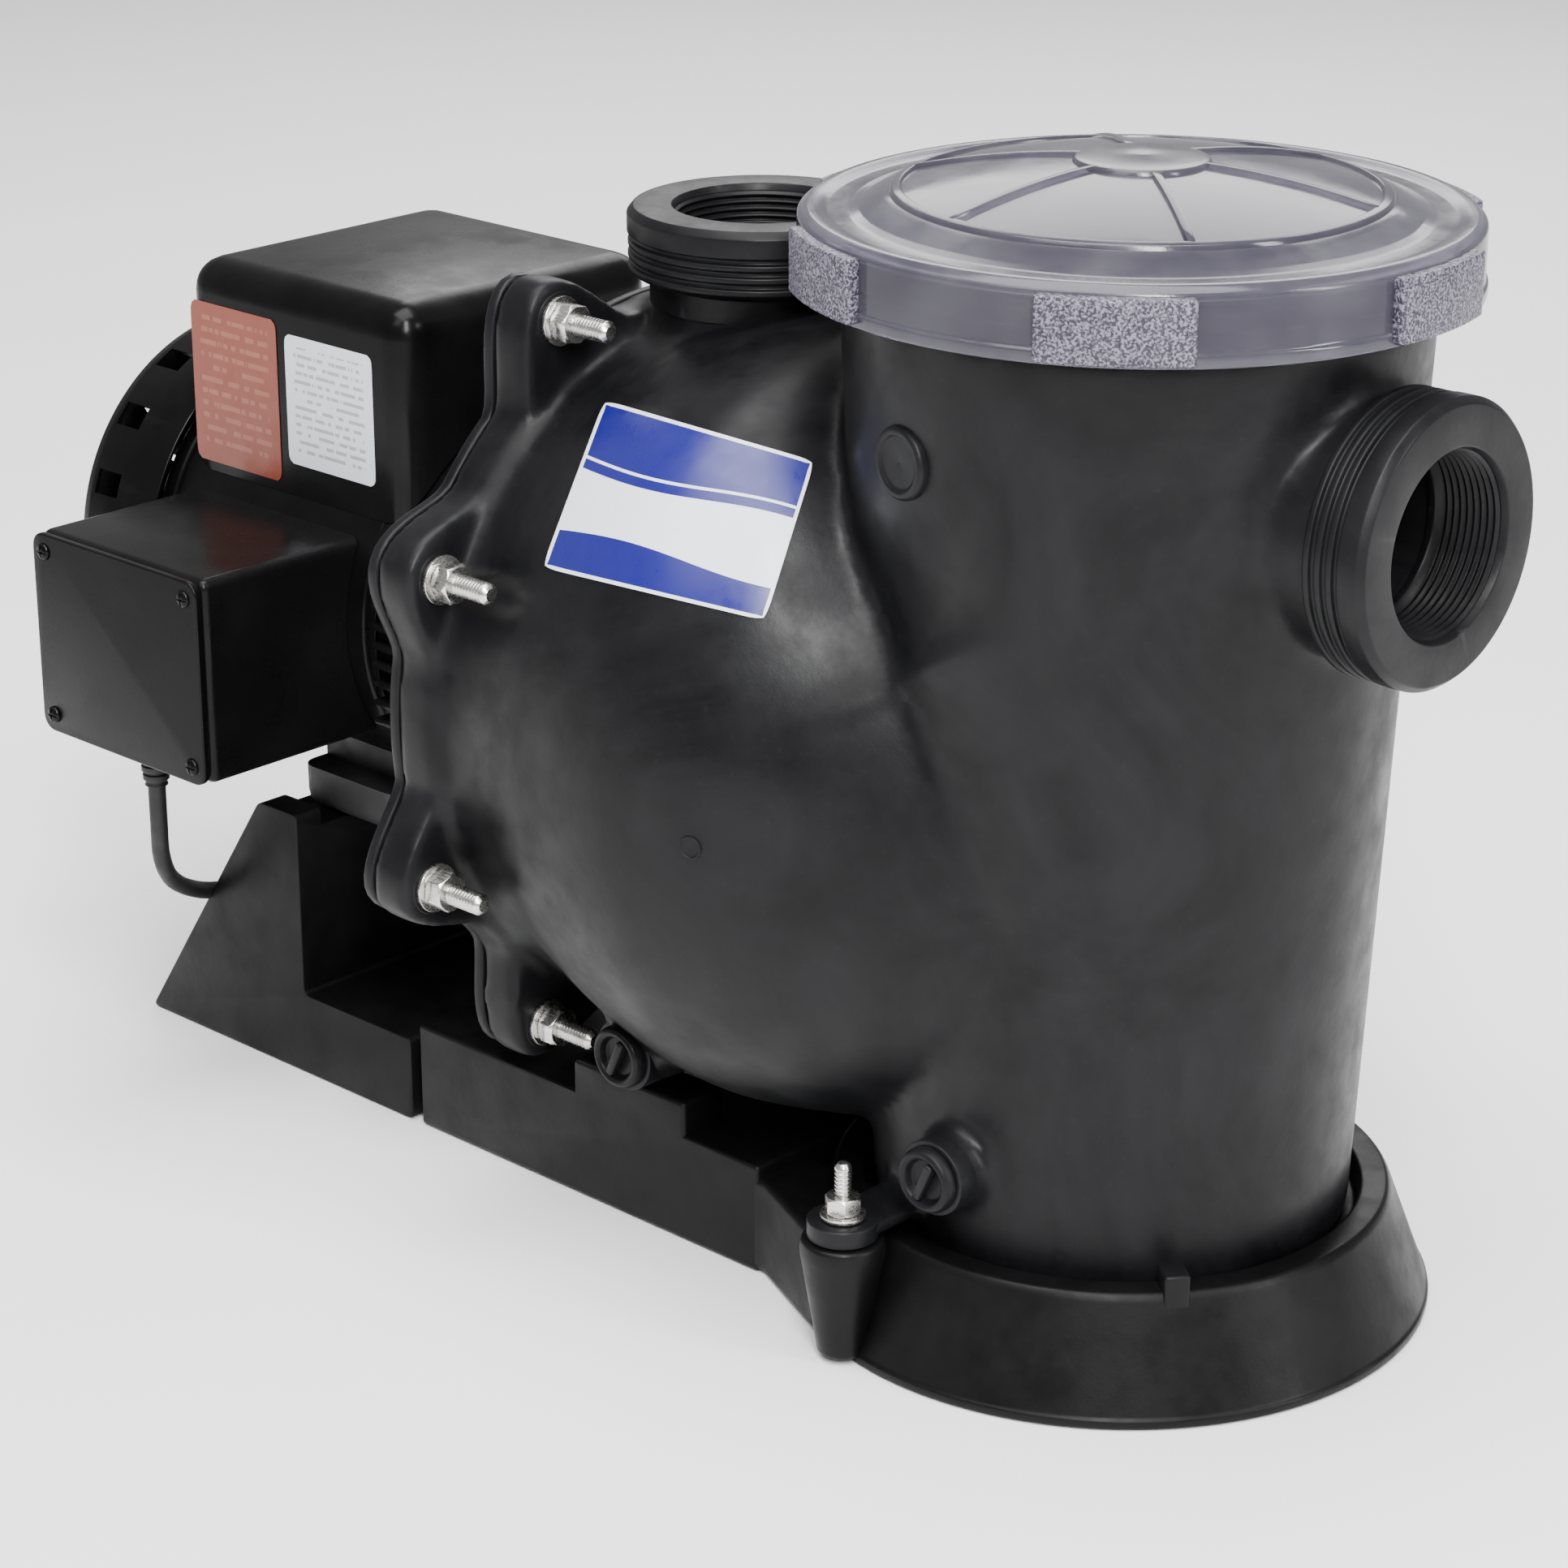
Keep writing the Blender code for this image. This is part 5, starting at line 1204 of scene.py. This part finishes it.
def make_boxes():
    """Capacitor cover, junction box with its cover and screws."""
    low, high = Vector(CAP_LOW), Vector(CAP_HIGH)
    outer = brick(low - Vector((0, 0, 20)), high, 13, 6)
    inner = brick(low - Vector((-2, -2, 40)), high - Vector((2, 2, 2)), 11, 6)
    hem = brick((-440, -90, 180), (-270, 90, low.z), 0)
    cover = boolean(outer, [inner, clearance_mesh(), hem])
    piece("capacitor_cover", shade(cover), "black_paint", "pump", ["capacitor_box"])
    lip = []
    for side in (-1, 1):
        outer_y = side * 66 + 0.4 * side + 0.6
        lip.append(brick((low.x + 4, side * 66 - 1.6, low.z - 1), (high.x - 4, outer_y, low.z + 5),
                         0.5, 2))
    piece("capacitor_cover_hem", merged("hem", lip), "black_paint")

    low, high = Vector(JUNCTION_LOW), Vector(JUNCTION_HIGH)
    outer = brick(low, high, 4, 4)
    inner = brick(low + Vector((2.5, -10, 2.5)), high - Vector((2.5, 36, 2.5)), 1)
    gland = turned([(0, 170), (6, 170), (6, 130), (0, 130)], (*GLAND, 0), UPRIGHT, 48, 0)
    box = boolean(outer, [inner, clearance_mesh(), gland])
    piece("wiring_box", shade(box), "black_paint", "pump", ["junction_box"])
    middle = ((low.x + high.x) / 2, 0, (low.z + high.z) / 2)
    plate = slab(rounded_rectangle(high.x - low.x, high.z - low.z, 6), 147, 150, middle,
                 TOWARDS_SIDE, 0.7, 3)
    piece("wiring_box_cover", plate, "black_paint", "pump", ["junction_cover"])
    count = 0
    for x in (low.x + 7, high.x - 7):
        for z in (low.z + 7, high.z - 7):
            count += 1
            head = turned([(0, 1.9), (1.8, 1.7), (3.0, 1.0), (3.4, 0.3), (1.6, 0.3), (1.6, -2.8),
                           (0, -2.8)], (x, -150, z), TOWARDS_SIDE, 40, 0.2)
            slot = brick((x - 3, -152.6, z - 0.45), (x + 3, -151.0, z + 0.45), 0)
            cross = brick((x - 0.45, -152.6, z - 3), (x + 0.45, -151.0, z + 3), 0)
            screw = boolean(head, [slot, cross])
            piece(f"cover_screw_{count}", shade(screw), "black_paint", "pump",
                  [f"junction_screw_{count}"])


def clearance_mesh():
    """The room round the motor frame that the boxes leave."""
    return turned([(0, -270), (MOTOR_R + 0.3, -270), (MOTOR_R + 0.3, -450), (0, -450)],
                  (0, 0, SHAFT_Z), ALONG_X, 160, 0)


# ---- base ----------------------------------------------------------------------------------
def make_base():
    """Pump base with its skirt ring and bosses, the motor stand and the rubber foot."""
    ring = turned([(0, 33.7), (87, 33.7), (88.5, RING_Z), (RING_TOP_R, RING_Z),
                   (RING_TOP_R + 1.5, 41), (RING_FOOT_R - 1, 4), (RING_FOOT_R, 3),
                   (RING_FOOT_R, 0), (0, 0)], steps=160, radius=1.4)
    deck = brick((-272, -BASE_HALF, 0), (-91, BASE_HALF, DECK_Z), 1.6, 3)
    shapes = [deck]
    for side in (-1, 1):
        low, high = sorted((side * 66, side * BASE_HALF))
        shapes.append(brick((-186, low, DECK_Z - 5), (-128, high, 55), 2, 3))
    body = boolean(ring, shapes, "UNION")
    deck_cell = brick((-265, -80, -10), (-124, 80, 35), 0)
    ring_cell = turned([(0, 27), (86, 27), (86, -10), (0, -10)], steps=96, radius=0)
    body = boolean(body, [deck_cell, ring_cell])
    piece("base_moulding", shade(body), "base_plastic", "pump", ["pump_base"])
    for side in (-1, 1):
        outline = [(-95, side * 87.5), (-88, side * 87.5), (-46, side * 106.5), (-30, side * 60),
                   (-95, side * 60)]
        lobe = slab(outline, 0.4, 37, bevel=2.5)
        piece(f"ring_lobe_{side + 2}", lobe, "base_plastic")
    for count, (x, y) in enumerate(POT_STUDS, 1):
        funnel = turned([(0, 45.9), (14.5, 45.9), (15, 41), (12.5, 26), (9.6, 8), (8.8, 2), (0, 2)],
                        (x, y, 0), UPRIGHT, 72, 1.6)
        web = brick((x - 7, min(y, y * 0.7), 3), (x + 7, max(y, y * 0.7), 42), 3)
        piece(f"stud_funnel_{count}", merged("funnel", [funnel, web]), "base_plastic")
    tab = brick((-5.5, -4.5, 0), (5.5, 4.5, 18), 1.2, 3)
    angle = radians(-38)
    tab.transform(Matrix.Translation(-at(0, 0, 0)))
    tab.transform(Matrix.Translation(at(95 * cos(angle), 95 * sin(angle), 31.8))
                  @ Matrix.Rotation(angle, 4, "Z"))
    piece("ring_tab", tab, "base_plastic")

    profile = [(-438, 0), (-363, 110), (-340, 110), (-340, 34), (-277, 34), (-277, 0)]
    stand = slab(filleted(profile, 3), -BASE_HALF, BASE_HALF, (0, 0, 0), TOWARDS_SIDE, 1.4, 3)
    back = brick((-460, -81.5, -10), (-346, 81.5, 97), 0)
    cradle = brick((-460, -75, 103), (-300, 75, 130), 0)
    cell = brick((-334, -80, -10), (-283, 80, 29), 0)
    stand = boolean(stand, [back, cradle, cell])
    piece("stand_moulding", shade(stand), "base_plastic", "pump", ["motor_stand"])

    foot = brick((-362, -66, 103.3), (-305, 66, 142), 7, 4)
    side = brick((-380, -100, 121), (-290, -52, 160), 0)
    far = brick((-380, 52, 121), (-290, 100, 160), 0)
    foot = boolean(foot, [clearance_mesh(), side, far])
    piece("rubber_foot", shade(foot), "rubber", "pump", ["motor_foot"])


# ---- labels --------------------------------------------------------------------------------
def label_grid(name, corner, columns=40, rows=28):
    """A sheet over a function of u and v, with round corners and its UV map."""
    mesh = bpy.data.meshes.new(name)
    shape = bmesh.new()
    layer = shape.loops.layers.uv.new("UVMap")
    verts = {}
    for i in range(columns + 1):
        for j in range(rows + 1):
            u, v = i / columns, j / rows
            verts[i, j] = (shape.verts.new(corner(*rounded(u, v))), rounded(u, v))
    for i in range(columns):
        for j in range(rows):
            keys = ((i, j), (i + 1, j), (i + 1, j + 1), (i, j + 1))
            face = shape.faces.new([verts[key][0] for key in keys])
            for loop, key in zip(face.loops, keys):
                loop[layer].uv = verts[key][1]
    shape.to_mesh(mesh)
    shape.free()
    return mesh


def rounded(u, v, reach_u=0.055, reach_v=0.075):
    """Draw the unit square's corners in to arcs."""
    x, y = abs(u * 2 - 1), abs(v * 2 - 1)
    over_x, over_y = x - (1 - 2 * reach_u), y - (1 - 2 * reach_v)
    if over_x > 0 and over_y > 0:
        a, b = over_x / (2 * reach_u), over_y / (2 * reach_v)
        longest = max(a, b)
        shrink = longest / sqrt(a * a + b * b)
        x = 1 - 2 * reach_u + over_x * shrink
        y = 1 - 2 * reach_v + over_y * shrink
    return (0.5 + 0.5 * x * (1 if u > 0.5 else -1), 0.5 + 0.5 * y * (1 if v > 0.5 else -1))


def filmed(sheet):
    """Mesh of a label's sheet with the thickness of its film."""
    film = sheet.modifiers.new("film", "SOLIDIFY")
    film.thickness = LABEL_FILM * MM
    film.offset = 1
    return shade(baked(sheet), 50)


# Corners of the volute's label, seen from the camera's side; it is laid on the skin from there.
LABEL_TOP_LEFT = (-166, -85, 311.5)
LABEL_TOP_RIGHT = (-76.3, -72.6, 304.5)
LABEL_FOOT_LEFT = (-158.2, -124.5, 259.7)
LABEL_FOOT_RIGHT = (-64.0, -110.4, 258.5)


def make_labels():
    """The volute's label, laid on its skin, and the capacitor cover's two stickers."""
    corners = [at(*corner) for corner in (LABEL_FOOT_LEFT, LABEL_FOOT_RIGHT, LABEL_TOP_LEFT,
                                          LABEL_TOP_RIGHT)]

    skin = bpy.data.objects["housing_skin"].data
    near = BVHTree.FromPolygons([v.co for v in skin.vertices], [p.vertices for p in skin.polygons])

    def place(u, v):
        foot = corners[0].lerp(corners[1], u)
        top = corners[2].lerp(corners[3], u)
        aim = foot.lerp(top, v)
        spot, normal, _, _ = near.ray_cast(CAMERA_PLACE, (aim - CAMERA_PLACE).normalized())
        return spot + normal * LABEL_GAP * MM

    sheet = helper("volute_label_sheet", label_grid("volute_label_sheet", place))
    relax = sheet.modifiers.new("relax", "SMOOTH")
    relax.factor = 0.5
    relax.iterations = 8
    piece("volute_sticker", filmed(sheet), "volute_label", "pump", ["volute_label"])

    face = CAP_LOW[1] - 0.15
    for name, low, high, node in (("cover_sticker_red", (-416, 236), (-365, 300), "box_label_red"),
                                  ("cover_sticker_white", (-360, 245), (-310, 296),
                                   "box_label_white")):
        def flat(u, v, low=low, high=high):
            return at(low[0] + (high[0] - low[0]) * u, face, low[1] + (high[1] - low[1]) * v)
        sticker = helper(name, label_grid(name, flat, 20, 20))
        slot = "red_label" if "red" in name else "white_label"
        piece(name, filmed(sticker), slot, "pump", [node])


# ---- what stays from the frame, the stage and the light ------------------------------------
KEPT = {
    "impeller": "grey_plastic", "diffuser": "grey_plastic", "impeller_screw": "stainless",
    "motor_shaft": "stainless", "shaft_seal_head": "stainless", "shaft_seal_seat": "ceramic",
    "shaft_slinger": "rubber", "seal_plate_gasket": "rubber", "front_bearing": "core_steel",
    "rear_bearing": "core_steel", "rotor_core": "core_steel", "stator_core": "core_steel",
    "winding_front": "copper", "winding_rear": "copper", "start_capacitor": "grey_plastic",
    "run_capacitor": "grey_plastic", "plug_blade_1": "brass", "plug_blade_2": "brass",
    "plug_ground_pin": "brass",
}


def dress_frame():
    """Give every CAD node that stays in view its material."""
    for name, finish in KEPT.items():
        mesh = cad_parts[name].data
        mesh.materials.clear()
        mesh.materials.append(MATERIALS[finish])
        shade(mesh, 30)


def make_stage():
    """A pale floor, soft boxes and an even sky."""
    nodes = Nodes("floor")
    nodes.set(Base_Color=nodes.mix(nodes.ramp(nodes.noise(3, 3), 0.0, 1.0), (0.93, 0.93, 0.93),
                                   (0.95, 0.95, 0.95)), Roughness=0.8)
    mesh = bpy.data.meshes.new("floor")
    shape = bmesh.new()
    bmesh.ops.create_grid(shape, x_segments=2, y_segments=2, size=14)
    shape.to_mesh(mesh)
    shape.free()
    mesh.materials.append(nodes.material)
    floor = bpy.data.objects.new("floor", mesh)
    floor.location.z = -0.0005
    bpy.context.scene.collection.objects.link(floor)

    world = bpy.data.worlds.new("sky")
    world.use_nodes = True
    background = world.node_tree.nodes["Background"]
    background.inputs["Color"].default_value = (1, 1, 1, 1)
    background.inputs["Strength"].default_value = 0.45
    bpy.context.scene.world = world

    middle = at(-160, 0, 180)
    for name, azimuth, elevation, reach, width, height, power in LIGHTS:
        data = bpy.data.lights.new(name, "AREA")
        data.shape = "RECTANGLE"
        data.size = width
        data.size_y = height
        data.energy = power
        light = bpy.data.objects.new(name, data)
        bpy.context.scene.collection.objects.link(light)
        back = outward(radians(azimuth), radians(elevation))
        light.location = middle + back * reach
        light.rotation_euler = (-back).to_track_quat("-Z", "Y").to_euler()


# name, azimuth and elevation in degrees, distance, width, height, watts
LIGHTS = (
    ("key", 48, 42, 2.2, 0.35, 1.4, 72),
    ("side", 100, 24, 2.2, 0.30, 1.6, 30),
    ("left", 2, 50, 2.6, 1.0, 1.0, 14),
    ("top", -10, 84, 2.8, 2.0, 2.0, 120),
    ("back", 215, 35, 2.4, 1.4, 1.2, 24),
)

make_housing()
make_seal_plate()
make_fasteners()
make_lid()
make_basket()
make_drain_plugs()
make_motor()
make_boxes()
make_base()
make_labels()
dress_frame()
make_stage()
